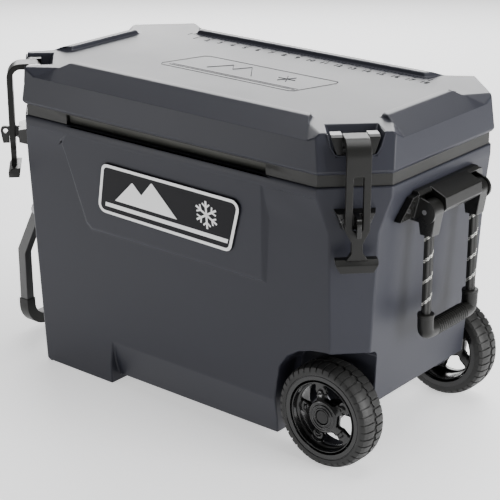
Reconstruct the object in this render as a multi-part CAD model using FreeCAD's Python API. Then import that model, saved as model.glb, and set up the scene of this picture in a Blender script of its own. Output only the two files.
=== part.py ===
"""Wheeled cooler: foam-filled tub and lid, corner latches, tow handle, rope carry handle, two wheels.

Built about the middle of the tub, X along the length towards the wheels, -Y the front with the
badge, +Z up from the floor. Every piece is then moved so that the origin is the middle of the
whole cooler's base. Units are millimetres.
"""

import FreeCAD
import Part
import math
import os

Vec = FreeCAD.Vector
X_AXIS = Vec(1, 0, 0)
Y_AXIS = Vec(0, 1, 0)
Z_AXIS = Vec(0, 0, 1)

# Tub: half length, half width and corner cut at each level of the wall
BASE_Z, BASE_A, BASE_B, BASE_C = 0.0, 312.1, 162.3, 30.5
KNEE_Z, KNEE_A, KNEE_B, KNEE_C = 351.0, 330.4, 180.6, 47.0
LIP_Z = 399.0
RIM_Z = 414.3
RIM_A, RIM_B, RIM_C = 342.0, 192.0, 70.0
WALL = 3.2
LIP_WIDE = 24.0
CORNER_SHARE = 2.0 - math.sqrt(2.0)
DRAFT = (KNEE_A - BASE_A) / (KNEE_Z - BASE_Z)

# Storage space
STORE_X, STORE_Y, STORE_C, STORE_R = 293.0, 145.0, 26.0, 14.0
STORE_FLOOR = 46.0
STORE_TAPER = 10.0
HUMP_X = 160.0
HUMP_Z = 196.0

# Underside: the skirt between foot and arch, the toe rounding and the rise between the wheels
FOOT_END = -139.0
SKIRT_TOP_Z, SKIRT_LOW_Z = 75.0, 10.0
SKIRT_Y = 144.0
TOE_R = 40.0
RISE_START, RISE_END = 176.0, 236.0
UNDER_Z = 90.0

# Wheels and axle
WHEEL_X, WHEEL_Y = 270.0, 149.0
WHEEL_R, WHEEL_W = 76.5, 49.0
RIM_R = 54.0
HUB_R = 15.0
AXLE_R = 6.0
RUN_GAP = 0.05
WELL_Y = 115.0
CHEEK_T = 15.0
ARCH_TOP_Z = 174.5
ARCH = [(168, -10), (179, 37), (186, 86), (189, 104), (194, 131), (208, 151), (229, 164), (251, 171),
        (274, ARCH_TOP_Z)]
ARCH_CORNER_R = 12.0
SPOKES = 5

# Badge panel and badge
PANEL_TOP_Z, PANEL_LOW_Z = 399.0, 258.0
PANEL_TOP_Y, PANEL_LOW_Y = -192.0, -179.5
PANEL = [(-163, 266), (-153, 258), (171, 258), (178, 402), (-186, 402), (-199, 386)]
PANEL_BEVEL = 16.0
BADGE = [(-116, 371.6), (145, 368.7), (120, 286), (-135, 291)]
BADGE_T = 2.4
BADGE_R = 11.0

# Lid
LID_GAP = 0.5
BAND_Z = 431.0
BAND_INSET = 2.5
GRIP_X0, GRIP_X1, GRIP_DEEP = -187.0, 185.0, 16.0
LID_WIDE_Z, LID_PROUD = 436.0, 3.0
LID_EDGE_Z, PANEL_Z, RIDGE_Z = 475.0, 487.0, 493.0
RIDGE_STRIP = 12.0

# Rear hinges
HINGE_X, HINGE_Y, HINGE_Z = 190.0, 199.0, 414.0
HINGE_R, HINGE_PIN_R = 6.5, 2.5
HINGE_LONG = 66.0

# Latches, in the frame of a front corner: s along the corner face, out of it, and z
PIVOT_OUT, PIVOT_Z = -14.0, 473.0
STRAP_HALF, STRAP_IN, STRAP_OUT = 16.2, 18.5, 27.0
STRAP_EYE_R, STRAP_TURN_R = 10.0, 22.0
POCKET_Z, POCKET_DEEP = 457.0, 44.0
SLOT_HALF, SLOT_LOW_Z, SLOT_TOP_Z = 6.8, 362.0, 437.0
PULL_TOP_Z, PULL_LOW_Z = 324.0, 307.0
LATCH_PIN_R = 3.0
EYE_OUT, EYE_Z, EYE_HOLE_R = 33.5, 376.5, 3.6
KEEPER_TOP_Z, KEEPER_LOW_Z, KEEPER_DEEP = 386.0, 358.0, 13.0

# Tow handle at the left end
TOW_PIVOT_X, TOW_PIVOT_Z = -343.0, 228.0
TOW_Y, TOW_LOW_Z, TOW_ELBOW_Z = 108.0, 20.0, 150.0
TOW_X = -383.0
TOW_DEEP, TOW_THICK = 17.0, 15.0
TOW_BEND_R = 32.0
TOW_PIN_R = 4.0
TOW_PLATE_T, TOW_LUG_W = 4.0, 12.0
TOW_SCREW_Y, TOW_SCREW_Z = 82.5, (206.0, 242.0)
SLEEVE_TOP_Z, SLEEVE_WALL = 63.0, 1.3

# Carry handle at the right end
CARRY_X, CARRY_Z = 359.0, 368.0
ROPE_Y, ROPE_R = 56.5, 6.5
ROPE_TOP_Z, ROPE_LOW_Z = 333.0, 219.0
GRIP_Y, GRIP_LOW_Z, GRIP_BAR, GRIP_THICK = 69.0, 179.0, 23.0, 24.0
CARRY_PIN_R = 3.5
KNUCKLE_W, KNUCKLE_R, KNUCKLE_GAP = 21.0, 14.5, 0.6
CHEEK_R, CHEEK_WIDE = 16.5, 4.0
WING_DEEP = 11.0
CARRY_SCREW_Y, CARRY_SCREW_Z = 90.0, 372.0

# Drain in the left end
DRAIN_Z, DRAIN_R, DRAIN_BORE_R = 64.0, 17.0, 12.0

SCREW_R = 4.0


def box(x0, x1, y0, y1, z0, z1):
    return Part.makeBox(x1 - x0, y1 - y0, z1 - z0, Vec(x0, y0, z0))


def rod(x, y, z, axis, radius, length):
    """Cylinder centred on a point."""
    start = Vec(x, y, z) - axis * (length / 2.0)
    return Part.makeCylinder(radius, length, start, axis)


def prism(points, place, run):
    """Flat polygon, placed point by point, pushed along a vector."""
    corners = [place(u, v) for u, v in points]
    corners.append(corners[0])
    return Part.Face(Part.makePolygon(corners)).extrude(run)


def prism_xz(points, y0, y1):
    return prism(points, lambda u, v: Vec(u, y0, v), Vec(0, y1 - y0, 0))


def prism_yz(points, x0, x1):
    return prism(points, lambda u, v: Vec(x0, u, v), Vec(x1 - x0, 0, 0))


def octagon(a, b, c):
    """Corners of a rectangle of half sides a and b with its corners cut off at 45 degrees."""
    return [(-a + c, -b), (a - c, -b), (a, -b + c), (a, b - c),
            (a - c, b), (-a + c, b), (-a, b - c), (-a, -b + c)]


def octagon_loft(levels, inset=0.0):
    """Straight-sided loft through octagons (z, a, b, c), all moved inwards by inset."""
    wires = []
    for z, a, b, c in levels:
        points = octagon(a - inset, b - inset, c - inset * CORNER_SHARE)
        corners = [Vec(x, y, z) for x, y in points]
        wires.append(Part.makePolygon(corners + corners[:1]))
    spans = [Part.makeLoft(list(pair), True, True) for pair in zip(wires, wires[1:])]
    return join(spans)


def polyhedron(points, faces):
    """Closed solid from corner points and the corner numbers of each flat face."""
    sides = []
    for face in faces:
        loop = [Vec(*points[i]) for i in face]
        sides.append(Part.Face(Part.makePolygon(loop + loop[:1])))
    solid = Part.Solid(Part.Shell(sides))
    if solid.Volume < 0:
        solid.reverse()
    return solid


def quad_block(low, high):
    """Solid between two flat four-cornered loops; each side is split, so it may be twisted."""
    faces = [(0, 1, 2, 3), (4, 5, 6, 7)]
    for i in range(4):
        j = (i + 1) % 4
        faces += [(i, j, j + 4), (i, j + 4, i + 4)]
    return join([polyhedron(low + high, faces)])


def join(shapes):
    whole = shapes[0]
    if len(shapes) > 1:
        whole = shapes[0].multiFuse(shapes[1:])
    return whole.removeSplitter()


def both_sides(shape):
    """The shape and its mirror image across the cooler's long middle plane."""
    return [shape, mirrored(shape)]


def mirrored(shape):
    return shape.mirror(Vec(0, 0, 0), Y_AXIS)


def rounded(shape, radius, wanted):
    """Fillet the edges for which wanted(edge) is true."""
    edges = [edge for edge in shape.Edges if wanted(edge)]
    return shape.makeFillet(radius, edges)


def along(edge, axis):
    ends = [vertex.Point for vertex in edge.Vertexes]
    if len(ends) < 2:
        return False
    run = ends[1] - ends[0]
    return abs(run.dot(axis)) > 0.999 * run.Length


def wall_x(z):
    """Half length of the tub at a height below the knee."""
    return BASE_A + DRAFT * z


def wheel_well(inset):
    outline = ARCH + [(380, ARCH_TOP_Z), (380, -10)]
    well = prism_xz(outline, -260.0, -WELL_Y)
    if inset:
        well = well.makeOffsetShape(inset, 0.01, join=2)
    top, back = ARCH_TOP_Z + inset, -WELL_Y + inset
    return rounded(well, ARCH_CORNER_R + inset, lambda e: along(e, X_AXIS)
                   and abs(e.CenterOfMass.z - top) < 0.5 and abs(e.CenterOfMass.y - back) < 0.5)


def skirt_cut(inset):
    """Wedge taken from the lower front edge between the foot and the wheel arch."""
    top_y = -BASE_B - DRAFT * SKIRT_TOP_Z
    profile = [(top_y - 60, SKIRT_TOP_Z + inset), (top_y + inset * 0.3, SKIRT_TOP_Z + inset),
               (-SKIRT_Y + inset, SKIRT_LOW_Z), (-SKIRT_Y + inset, -20), (top_y - 60, -20)]
    wedge = prism_yz(profile, FOOT_END - 40, ARCH[1][0] + 20)
    slant = prism_xz([(FOOT_END - 60, -30), (FOOT_END - inset, -30), (FOOT_END - inset, 31 + inset),
                      (FOOT_END + 8 - inset, SKIRT_TOP_Z + 1 + inset), (FOOT_END - 60, 140)], -300, 0)
    return wedge.cut(slant)


def toe_cut(inset):
    """What the large rounding takes off the lower left edge."""
    radius = TOE_R
    left = -BASE_A + inset
    corner = box(left - 60, left + radius, -300, 300, -60, inset + radius)
    drum = rod(left + radius + 1.5, 0, inset + radius, Y_AXIS, radius, 620)
    spare = box(left + radius, left + radius + 2, -301, 301, -61, inset + radius + 1)
    return corner.cut(drum).cut(spare)


def under_cut(inset):
    """Space under the raised part of the floor between the wheels, and under the skirt."""
    low = SKIRT_LOW_Z + inset
    rise = [(RISE_START - inset, low), (RISE_END - inset, UNDER_Z + inset),
            (420, UNDER_Z + inset), (420, -60),
            (FOOT_END - inset, -60), (FOOT_END - inset, low)]
    return prism_xz(rise, -300, 300)


def tub_envelope(inset=0.0):
    """Outside shape of the tub, or the same shape moved inwards by inset."""
    levels = [(BASE_Z + inset, BASE_A, BASE_B, BASE_C), (KNEE_Z, KNEE_A, KNEE_B, KNEE_C),
              (LIP_Z, RIM_A, RIM_B, RIM_C), (RIM_Z, RIM_A, RIM_B, RIM_C)]
    tub = octagon_loft(levels, inset)
    cuts = [toe_cut(inset), under_cut(inset)]
    for piece in (wheel_well(inset), skirt_cut(inset)):
        cuts += both_sides(piece)
    for piece in cuts:
        tub = tub.cut(piece)
    return tub


def badge_panel():
    """Raised panel on the front wall, with sloping edges, running out under the lip."""
    lean = (PANEL_TOP_Y - PANEL_LOW_Y) / (PANEL_TOP_Z - PANEL_LOW_Z)
    middle = (sum(x for x, z in PANEL) / len(PANEL), sum(z for x, z in PANEL) / len(PANEL))
    loops = []
    for grow, back in ((0.0, 0.0), (PANEL_BEVEL, PANEL_BEVEL)):
        loop = []
        for x, z in PANEL:
            x_far = x + math.copysign(grow, x - middle[0])
            z_far = z + math.copysign(grow, z - middle[1])
            y = PANEL_TOP_Y + lean * (z_far - PANEL_TOP_Z) + back
            loop.append(Vec(x_far, y, z_far))
        loops.append(Part.makePolygon(loop + loop[:1]))
    panel = Part.makeLoft(loops, True, True)
    return panel.common(box(-300, 300, -300, 0, 200, LIP_Z))


def axle_cheek():
    """Tapered rib beside a wheel that carries the axle below the floor."""
    outline = [(WHEEL_X - 44, UNDER_Z + 2), (WHEEL_X - 17, WHEEL_R - 14), (WHEEL_X - 9, WHEEL_R - 20),
               (WHEEL_X + 9, WHEEL_R - 20), (WHEEL_X + 17, WHEEL_R - 14), (WHEEL_X + 42, UNDER_Z + 2)]
    cheek = prism_xz(outline, -WELL_Y, -WELL_Y + CHEEK_T)
    return cheek.cut(rod(WHEEL_X, -WELL_Y, WHEEL_R, Y_AXIS, AXLE_R + RUN_GAP, 90))


def storage(outset=0.0):
    """The space inside the inner tub, or that space grown by outset."""
    top = RIM_Z + 5
    floor = STORE_FLOOR - outset
    a, b, c = STORE_X + outset, STORE_Y + outset, STORE_C + outset * CORNER_SHARE
    room = octagon_loft([(floor, a - STORE_TAPER, b - STORE_TAPER, c), (top, a, b, c)])
    hump = box(HUMP_X - outset, 400, -300, 300, 0, HUMP_Z - outset)
    room = room.cut(hump)
    return rounded(room, STORE_R, lambda e: abs(e.CenterOfMass.z - floor) < 0.5
                   and e.CenterOfMass.x < HUMP_X - outset - 5)


def drain_hole(radius):
    return rod(-BASE_A + 10, 0, DRAIN_Z, X_AXIS, radius, 90)


def tubs():
    """Outer shell, foam and inner tub, which fit one inside the other."""
    inside = tub_envelope(WALL)
    rim_top = inside.common(box(-400, 400, -300, 300, RIM_Z - WALL, RIM_Z))
    a, b, c = RIM_A - LIP_WIDE, RIM_B - LIP_WIDE, RIM_C - LIP_WIDE * CORNER_SHARE
    flange = rim_top.common(octagon_loft([(RIM_Z - WALL - 1, a, b, c), (RIM_Z + 1, a, b, c)]))
    room = storage()
    room_wall = storage(WALL)
    hole = drain_hole(DRAIN_R)
    cheeks = [cheek.cut(inside) for cheek in both_sides(axle_cheek())]
    shell = join([tub_envelope().cut(inside), badge_panel().cut(inside), rim_top.cut(flange)] + cheeks)
    shell = shell.cut(hole)
    foam = inside.cut(room_wall).cut(rim_top).cut(hole)
    liner = join([room_wall.common(box(-400, 400, -300, 300, 0, RIM_Z)), flange]).cut(room).cut(hole)
    return {"outer_shell": shell, "foam_core": foam, "inner_liner": liner}


def panel_tilt(shape):
    """Lean a shape drawn upright in the plane y = 0, at its own heights, onto the badge panel."""
    lean = math.degrees(math.atan2(PANEL_TOP_Y - PANEL_LOW_Y, PANEL_TOP_Z - PANEL_LOW_Z))
    turned = shape.copy()
    turned.rotate(Vec(0, 0, PANEL_TOP_Z), X_AXIS, -lean)
    turned.translate(Vec(0, PANEL_TOP_Y, 0))
    return turned


def badge_plate():
    plate = prism_xz(BADGE, -BADGE_T, 0.0)
    plate = rounded(plate, BADGE_R, lambda e: along(e, Y_AXIS))
    return panel_tilt(plate)


def lid_bar(half_a, half_b, left, right):
    """One sloping side of the lid along the edge at y = -half_b.

    Returns the wedge that the slope takes off the slab's edge and the raised bar on the slab.
    """
    slope = (RIDGE_Z - LID_EDGE_Z) / half_a
    inset = (PANEL_Z - LID_EDGE_Z) / slope
    edge = -half_b
    low_l, low_r = left
    top_l, top_r = right
    share = inset / half_a
    mid_l = low_l + (top_l - low_l) * share
    mid_r = low_r + (top_r - low_r) * share
    rise = (PANEL_Z - LID_EDGE_Z) * 2.0
    out = 14.0
    wedge = polyhedron(
        [(low_l, edge, LID_EDGE_Z), (low_r, edge, LID_EDGE_Z),
         (low_r + rise, edge, PANEL_Z), (low_l - rise, edge, PANEL_Z),
         (mid_r, edge + inset, PANEL_Z), (mid_l, edge + inset, PANEL_Z)],
        [(0, 1, 2, 3), (0, 1, 4, 5), (3, 2, 4, 5), (0, 5, 3), (1, 2, 4)])
    overhang = polyhedron(
        [(low_l, edge, LID_EDGE_Z), (low_r, edge, LID_EDGE_Z),
         (low_r + rise, edge, PANEL_Z), (low_l - rise, edge, PANEL_Z),
         (low_l, edge - out, LID_EDGE_Z), (low_r, edge - out, LID_EDGE_Z),
         (low_r + rise, edge - out, PANEL_Z), (low_l - rise, edge - out, PANEL_Z)],
        [(0, 1, 2, 3), (4, 5, 6, 7), (0, 1, 5, 4), (1, 2, 6, 5), (2, 3, 7, 6), (3, 0, 4, 7)])
    ridge = edge + half_a
    bar = quad_block(
        [(mid_l, edge + inset, PANEL_Z), (mid_r, edge + inset, PANEL_Z),
         (top_r - 4, ridge + RIDGE_STRIP + 2, PANEL_Z), (top_l + 4, ridge + RIDGE_STRIP + 2, PANEL_Z)],
        [(top_l, ridge, RIDGE_Z), (top_r, ridge, RIDGE_Z),
         (top_r - 8, ridge + RIDGE_STRIP, RIDGE_Z), (top_l + 8, ridge + RIDGE_STRIP, RIDGE_Z)])
    return [wedge, overhang], bar


def turned(shape, degrees):
    spun = shape.copy()
    spun.rotate(Vec(0, 0, 0), Z_AXIS, degrees)
    return spun


def corner(shape, side):
    """Move a piece drawn on the front plane y = 0 to a front corner face: side 1 right, -1 left."""
    placed = shape.copy()
    placed.rotate(Vec(0, 0, 0), Z_AXIS, 45.0 * side)
    placed.translate(Vec(side * (RIM_A - RIM_C / 2.0), -(RIM_B - RIM_C / 2.0), 0))
    return placed


def lid_outline():
    proud = LID_PROUD
    return [(BAND_Z, RIM_A - 1, RIM_B - 1, RIM_C), (LID_WIDE_Z, RIM_A + proud, RIM_B + proud, RIM_C + 1),
            (LID_EDGE_Z, RIM_A, RIM_B, RIM_C + 3.3), (PANEL_Z, RIM_A, RIM_B, RIM_C + 5.9)]


def lid_shell_and_foam():
    slab = octagon_loft(lid_outline())
    cuts, bars = [], []
    front_cut, front_bar = lid_bar(45.0, RIM_B, (-248, 254), (-220, 225))
    back_cut, back_bar = lid_bar(45.0, RIM_B, (-254, 248), (-225, 220))
    end_cut, end_bar = lid_bar(41.0, RIM_A, (-100, 100), (-80, 80))
    for wedges, bar, angle in ((front_cut, front_bar, 0), (back_cut, back_bar, 180),
                               (end_cut, end_bar, 90), (end_cut, end_bar, -90)):
        cuts += [turned(wedge, angle) for wedge in wedges]
        bars.append(turned(bar, angle))
    for piece in cuts:
        slab = slab.cut(piece)
    slab = join([slab] + bars)
    for side in (-1, 1):
        slab = slab.cut(corner(latch_pocket(), side))
    foam_c = RIM_C + 56
    foam = octagon_loft([(BAND_Z, RIM_A - 6, RIM_B - 6, foam_c),
                         (LID_EDGE_Z - 6, RIM_A - 6, RIM_B - 6, foam_c),
                         (PANEL_Z - 4, RIM_A - 36, RIM_B - 40, foam_c - 16)])
    return slab.cut(foam), foam


def lid_frame():
    """Dark lower part of the lid: band, floor, the plug that drops into the tub, seal groove."""
    low = RIM_Z + LID_GAP
    a, b = RIM_A - BAND_INSET, RIM_B - BAND_INSET
    band = octagon_loft([(low, a, b, RIM_C), (BAND_Z, a, b, RIM_C)])
    finger = box(GRIP_X0, GRIP_X1, -b - 20, -b + GRIP_DEEP, low - 1, BAND_Z - 1.5)
    plug = octagon_loft([(low - 10, STORE_X - 7, STORE_Y - 7, STORE_C),
                         (low + 2, STORE_X - 4, STORE_Y - 4, STORE_C)])
    hollow = octagon_loft([(low - 6, STORE_X - 12, STORE_Y - 12, 40.0),
                           (BAND_Z, STORE_X - 12, STORE_Y - 12, 40.0)])
    groove = gasket_ring(low - 1, low + 4.0, 5.2)
    frame = join([band.cut(finger), plug]).cut(hollow).cut(groove)
    return frame, hollow


def gasket_ring(z0, z1, half):
    """Ring that follows the tub's rim, half wide each side of its middle line."""
    a, b, c = STORE_X + 12, STORE_Y + 12, 34.0
    outer = octagon_loft([(z0, a + half, b + half, c), (z1, a + half, b + half, c)])
    inner = octagon_loft([(z0, a - half, b - half, c), (z1, a - half, b - half, c)])
    return outer.cut(inner)


def body_hinge(x):
    """Leaf on the tub's rear wall with the two outer knuckles."""
    half = HINGE_LONG / 2.0
    knee_y = RIM_B - (RIM_B - KNEE_B) * (LIP_Z - 372) / (LIP_Z - KNEE_Z)
    leaf = prism_yz([(RIM_B, HINGE_Z - 2), (RIM_B, LIP_Z), (knee_y, 372), (knee_y + 5, 372),
                     (RIM_B + 5, LIP_Z), (HINGE_Y, HINGE_Z - 2)], x - half, x + half)
    knuckles = [rod(x + side * half * 0.7, HINGE_Y, HINGE_Z, X_AXIS, HINGE_R, half * 0.6)
                for side in (-1, 1)]
    gap = box(x - half * 0.42, x + half * 0.42, HINGE_Y - 7.0, HINGE_Y + 9, HINGE_Z - 7.2, HINGE_Z + 9)
    leaf = join([leaf.cut(gap)] + knuckles)
    return leaf.cut(rod(x, HINGE_Y, HINGE_Z, X_AXIS, HINGE_PIN_R, HINGE_LONG + 2))


def lid_hinge(x):
    """Leaf on the lid's rear wall with the middle knuckle."""
    half = HINGE_LONG / 2.0 * 0.38
    knuckle = rod(x, HINGE_Y, HINGE_Z, X_AXIS, HINGE_R, half * 2)
    face = RIM_B + LID_PROUD + 0.3
    stem = box(x - half, x + half, RIM_B - BAND_INSET, HINGE_Y + 2, HINGE_Z + 1, BAND_Z)
    plate = box(x - HINGE_LONG / 2, x + HINGE_LONG / 2, face, face + 4, 433, 464)
    neck = box(x - half, x + half, face, face + 4, BAND_Z - 4, 436)
    leaf = join([knuckle, stem.cut(box(-400, 400, 0, face, BAND_Z - 0.5, 500)), neck, plate])
    leaf = leaf.cut(box(x - half - 1, x + half + 1, 0, RIM_B - BAND_INSET, 400, 500))
    return leaf.cut(rod(x, HINGE_Y, HINGE_Z, X_AXIS, HINGE_PIN_R + RUN_GAP, HINGE_LONG))


def hinge_pin(x):
    pin = rod(x, HINGE_Y, HINGE_Z, X_AXIS, HINGE_PIN_R, HINGE_LONG)
    head = rod(x + HINGE_LONG / 2 + 1, HINGE_Y, HINGE_Z, X_AXIS, HINGE_PIN_R + 2, 2)
    return join([pin, head])


def dome_screw(point, axis, radius=SCREW_R, height=2.2):
    """Low screw head with a cross recess, sitting on a face and standing out along axis."""
    head = Part.makeCone(radius, radius * 0.72, height, point, axis)
    side = axis.cross(Z_AXIS) if abs(axis.z) < 0.9 else X_AXIS
    up = axis.cross(side)
    for arm in (side, up):
        mid = point + axis * height
        slot = Part.makeCylinder(0.7, radius, mid - arm * (radius / 2), arm)
        head = head.cut(slot)
    return head


def keeper():
    """Latch keeper on the corner face: plate, hook with an open padlock eye."""
    plate = quad_block(
        [(-28, 0, KEEPER_TOP_Z), (28, 0, KEEPER_TOP_Z), (18, 0, KEEPER_LOW_Z), (-18, 0, KEEPER_LOW_Z)],
        [(-25, -KEEPER_DEEP, KEEPER_TOP_Z - 3), (25, -KEEPER_DEEP, KEEPER_TOP_Z - 3),
         (16, -KEEPER_DEEP, KEEPER_LOW_Z + 3), (-16, -KEEPER_DEEP, KEEPER_LOW_Z + 3)])
    web = [(-2, KEEPER_LOW_Z + 6), (-EYE_OUT, EYE_Z - 7), (-EYE_OUT, EYE_Z + 7), (-2, KEEPER_TOP_Z - 2)]
    blade = prism(web, lambda u, v: Vec(-3, u, v), Vec(6, 0, 0))
    ring = rod(0, -EYE_OUT, EYE_Z, X_AXIS, 7.6, 6)
    tip = KEEPER_LOW_Z - 1
    leg = [(-STRAP_OUT - 1.2, EYE_Z - 4), (-STRAP_OUT - 1.2, tip), (-EYE_OUT - 4.5, tip),
           (-EYE_OUT - 7.4, EYE_Z - 2), (-EYE_OUT, EYE_Z + 2)]
    hook = prism(leg, lambda u, v: Vec(-3, u, v), Vec(6, 0, 0))
    throat = box(-9, 9, -STRAP_OUT - 1.2, -KEEPER_DEEP - 0.4, KEEPER_LOW_Z - 5, SLOT_LOW_Z + 2.5)
    whole = join([plate, blade.cut(throat), ring, hook])
    return whole.cut(rod(0, -EYE_OUT, EYE_Z, X_AXIS, EYE_HOLE_R, 12))


def strap():
    """Rubber latch strap: eye round the bracket pin, slotted blade, neck and T-shaped pull.

    The top leaves the eye flat, turns down over the lid's corner and hangs in front of it.
    """
    turn_y, turn_z = -(STRAP_OUT - STRAP_TURN_R), PIVOT_Z + STRAP_EYE_R - STRAP_TURN_R
    thick, waist_z = STRAP_OUT - STRAP_IN, SLOT_LOW_Z - 2
    eye = rod(0, -PIVOT_OUT, PIVOT_Z, X_AXIS, STRAP_EYE_R, STRAP_HALF * 2)
    top = PIVOT_Z + STRAP_EYE_R
    flat = box(-STRAP_HALF, STRAP_HALF, turn_y, -PIVOT_OUT, top - thick, top)
    bend = rod(0, turn_y, turn_z, X_AXIS, STRAP_TURN_R, STRAP_HALF * 2)
    bend = bend.cut(rod(0, turn_y, turn_z, X_AXIS, STRAP_TURN_R - thick, STRAP_HALF * 3))
    bend = bend.common(box(-40, 40, turn_y - 40, turn_y, turn_z, turn_z + 40))
    blade = prism_xz([(-STRAP_HALF, turn_z), (STRAP_HALF, turn_z), (STRAP_HALF, waist_z), (8, 344),
                      (7.5, PULL_TOP_Z - 2), (-7.5, PULL_TOP_Z - 2), (-8, 344), (-STRAP_HALF, waist_z)],
                     -STRAP_OUT, -STRAP_IN)
    slot = box(-SLOT_HALF, SLOT_HALF, -STRAP_OUT - 1, -STRAP_IN + 1, SLOT_LOW_Z, SLOT_TOP_Z)
    pull = quad_block(
        [(-29, -12, PULL_TOP_Z), (29, -12, PULL_TOP_Z), (29, -31, PULL_TOP_Z), (-29, -31, PULL_TOP_Z)],
        [(-22, -15, PULL_LOW_Z), (22, -15, PULL_LOW_Z), (22, -31, PULL_LOW_Z), (-22, -31, PULL_LOW_Z)])
    whole = join([eye, flat, bend, blade.cut(slot), pull])
    return whole.cut(rod(0, -PIVOT_OUT, PIVOT_Z, X_AXIS, LATCH_PIN_R + RUN_GAP, 60))


def latch_bracket():
    """Base in the lid's corner pocket with a tapered block each side of the strap."""
    inner = STRAP_HALF + 0.6
    cheek = quad_block(
        [(inner, 0, POCKET_Z), (25, 0, POCKET_Z), (24, 26, POCKET_Z), (inner, 26, POCKET_Z)],
        [(inner, 2, 481), (33, 2, 481), (32, 24, 483), (inner, 24, 483)])
    cheek = cheek.makeChamfer(1.4, [e for e in cheek.Edges if e.CenterOfMass.z > 465
                                    and e.CenterOfMass.x > inner + 1])
    base = box(-inner, inner, 1, 26, POCKET_Z, POCKET_Z + 3)
    whole = join([cheek, cheek.mirror(Vec(0, 0, 0), X_AXIS), base])
    return whole.cut(rod(0, -PIVOT_OUT, PIVOT_Z, X_AXIS, LATCH_PIN_R, 60))


def latch_pocket():
    """Pocket in the lid's corner that holds the bracket, open to the front and the top."""
    top = PANEL_Z + 1
    return quad_block(
        [(-27, -8, POCKET_Z), (27, -8, POCKET_Z), (25, 28, POCKET_Z), (-25, 28, POCKET_Z)],
        [(-39, -8, top), (39, -8, top), (35, POCKET_DEEP, top), (-35, POCKET_DEEP, top)])


def latch_pin():
    return rod(0, -PIVOT_OUT, PIVOT_Z, X_AXIS, LATCH_PIN_R, 56)


def wheel_rim():
    """Front wheel centre: barrel, five broad spokes, hub with a bore for the axle."""
    y0 = -WHEEL_Y
    barrel = rod(WHEEL_X, y0, WHEEL_R, Y_AXIS, RIM_R, WHEEL_W - 7)
    barrel = barrel.cut(rod(WHEEL_X, y0, WHEEL_R, Y_AXIS, RIM_R - 3.5, WHEEL_W))
    disc = rod(WHEEL_X, y0 - 10, WHEEL_R, Y_AXIS, RIM_R - 2, 9)
    hub = rod(WHEEL_X, y0, WHEEL_R, Y_AXIS, HUB_R, WHEEL_W - 5)
    window = [(-11, 25), (11, 25), (21, 45), (9, 48.5), (-9, 48.5), (-21, 45)]
    opening = prism_xz(window, y0 - 30, y0 + 30)
    for i in range(SPOKES):
        cut = opening.copy()
        cut.rotate(Vec(0, 0, 0), Y_AXIS, 360.0 / SPOKES * (i + 0.5))
        cut.translate(Vec(WHEEL_X, 0, WHEEL_R))
        disc = disc.cut(cut)
    rim = join([barrel, disc, hub])
    recess = rod(WHEEL_X, y0 - (WHEEL_W - 5) / 2, WHEEL_R, Y_AXIS, 11.0, 12)
    return rim.cut(recess).cut(rod(WHEEL_X, y0, WHEEL_R, Y_AXIS, AXLE_R + RUN_GAP, WHEEL_W))


def wheel_tyre():
    """Front tyre, a thick ring with rounded shoulders."""
    half = WHEEL_W / 2.0
    profile = [(RIM_R, -half + 3.5), (RIM_R + 2, -half + 1), (66, -half), (72, -half + 3),
               (75.5, -half + 10), (WHEEL_R, -8), (WHEEL_R, 8), (75.5, half - 10),
               (72, half - 3), (66, half), (RIM_R + 2, half - 1), (RIM_R, half - 3.5)]
    corners = [Vec(WHEEL_X, -WHEEL_Y + y, WHEEL_R + r) for r, y in profile]
    face = Part.Face(Part.makePolygon(corners + corners[:1]))
    return face.revolve(Vec(WHEEL_X, -WHEEL_Y, WHEEL_R), Y_AXIS, 360)


def axle_parts():
    reach = WHEEL_Y + (WHEEL_W - 5) / 2
    axle = rod(WHEEL_X, 0, WHEEL_R, Y_AXIS, AXLE_R, (reach - 1.0) * 2)
    gap_y = (WELL_Y + WHEEL_Y - (WHEEL_W - 5) / 2) / 2
    wide = WHEEL_Y - (WHEEL_W - 5) / 2 - WELL_Y - 1.0
    washer = rod(WHEEL_X, -gap_y, WHEEL_R, Y_AXIS, 11.0, wide)
    washer = washer.cut(rod(WHEEL_X, -gap_y, WHEEL_R, Y_AXIS, AXLE_R, 40))
    nut = rod(WHEEL_X, -reach + 3.2, WHEEL_R, Y_AXIS, 9.5, 4)
    nut = nut.cut(rod(WHEEL_X, -reach, WHEEL_R, Y_AXIS, AXLE_R, 40))
    return {"axle": axle, "axle_washers": Part.makeCompound(both_sides(washer)),
            "push_nuts": Part.makeCompound(both_sides(nut))}


def tow_arm_outline(half):
    """Side view of a tow arm, from the rounded pivot end to the vertical lower part."""
    bend_x = TOW_X
    return [(TOW_PIVOT_X - half, TOW_PIVOT_Z - 4), (TOW_PIVOT_X + half, TOW_PIVOT_Z - 4),
            (bend_x + half, TOW_ELBOW_Z - 6), (bend_x + half, TOW_LOW_Z + TOW_BEND_R),
            (bend_x - half, TOW_LOW_Z + TOW_BEND_R), (bend_x - half, TOW_ELBOW_Z)]


def tow_loop(deep, thick):
    """Lower corners and cross bar of the tow handle, of a rectangular section."""
    pieces = []
    centre = Vec(TOW_X, -TOW_Y + TOW_BEND_R, TOW_LOW_Z + TOW_BEND_R)
    corners = [Vec(TOW_X + u * deep / 2, -TOW_Y + v * thick / 2, centre.z) for u, v in
               ((-1, -1), (1, -1), (1, 1), (-1, 1))]
    face = Part.Face(Part.makePolygon(corners + corners[:1]))
    bend = face.revolve(centre, X_AXIS, 90)
    pieces += both_sides(bend)
    straight = TOW_Y - TOW_BEND_R
    pieces.append(box(TOW_X - deep / 2, TOW_X + deep / 2, -straight, straight,
                      TOW_LOW_Z - thick / 2, TOW_LOW_Z + thick / 2))
    return join(pieces)


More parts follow.
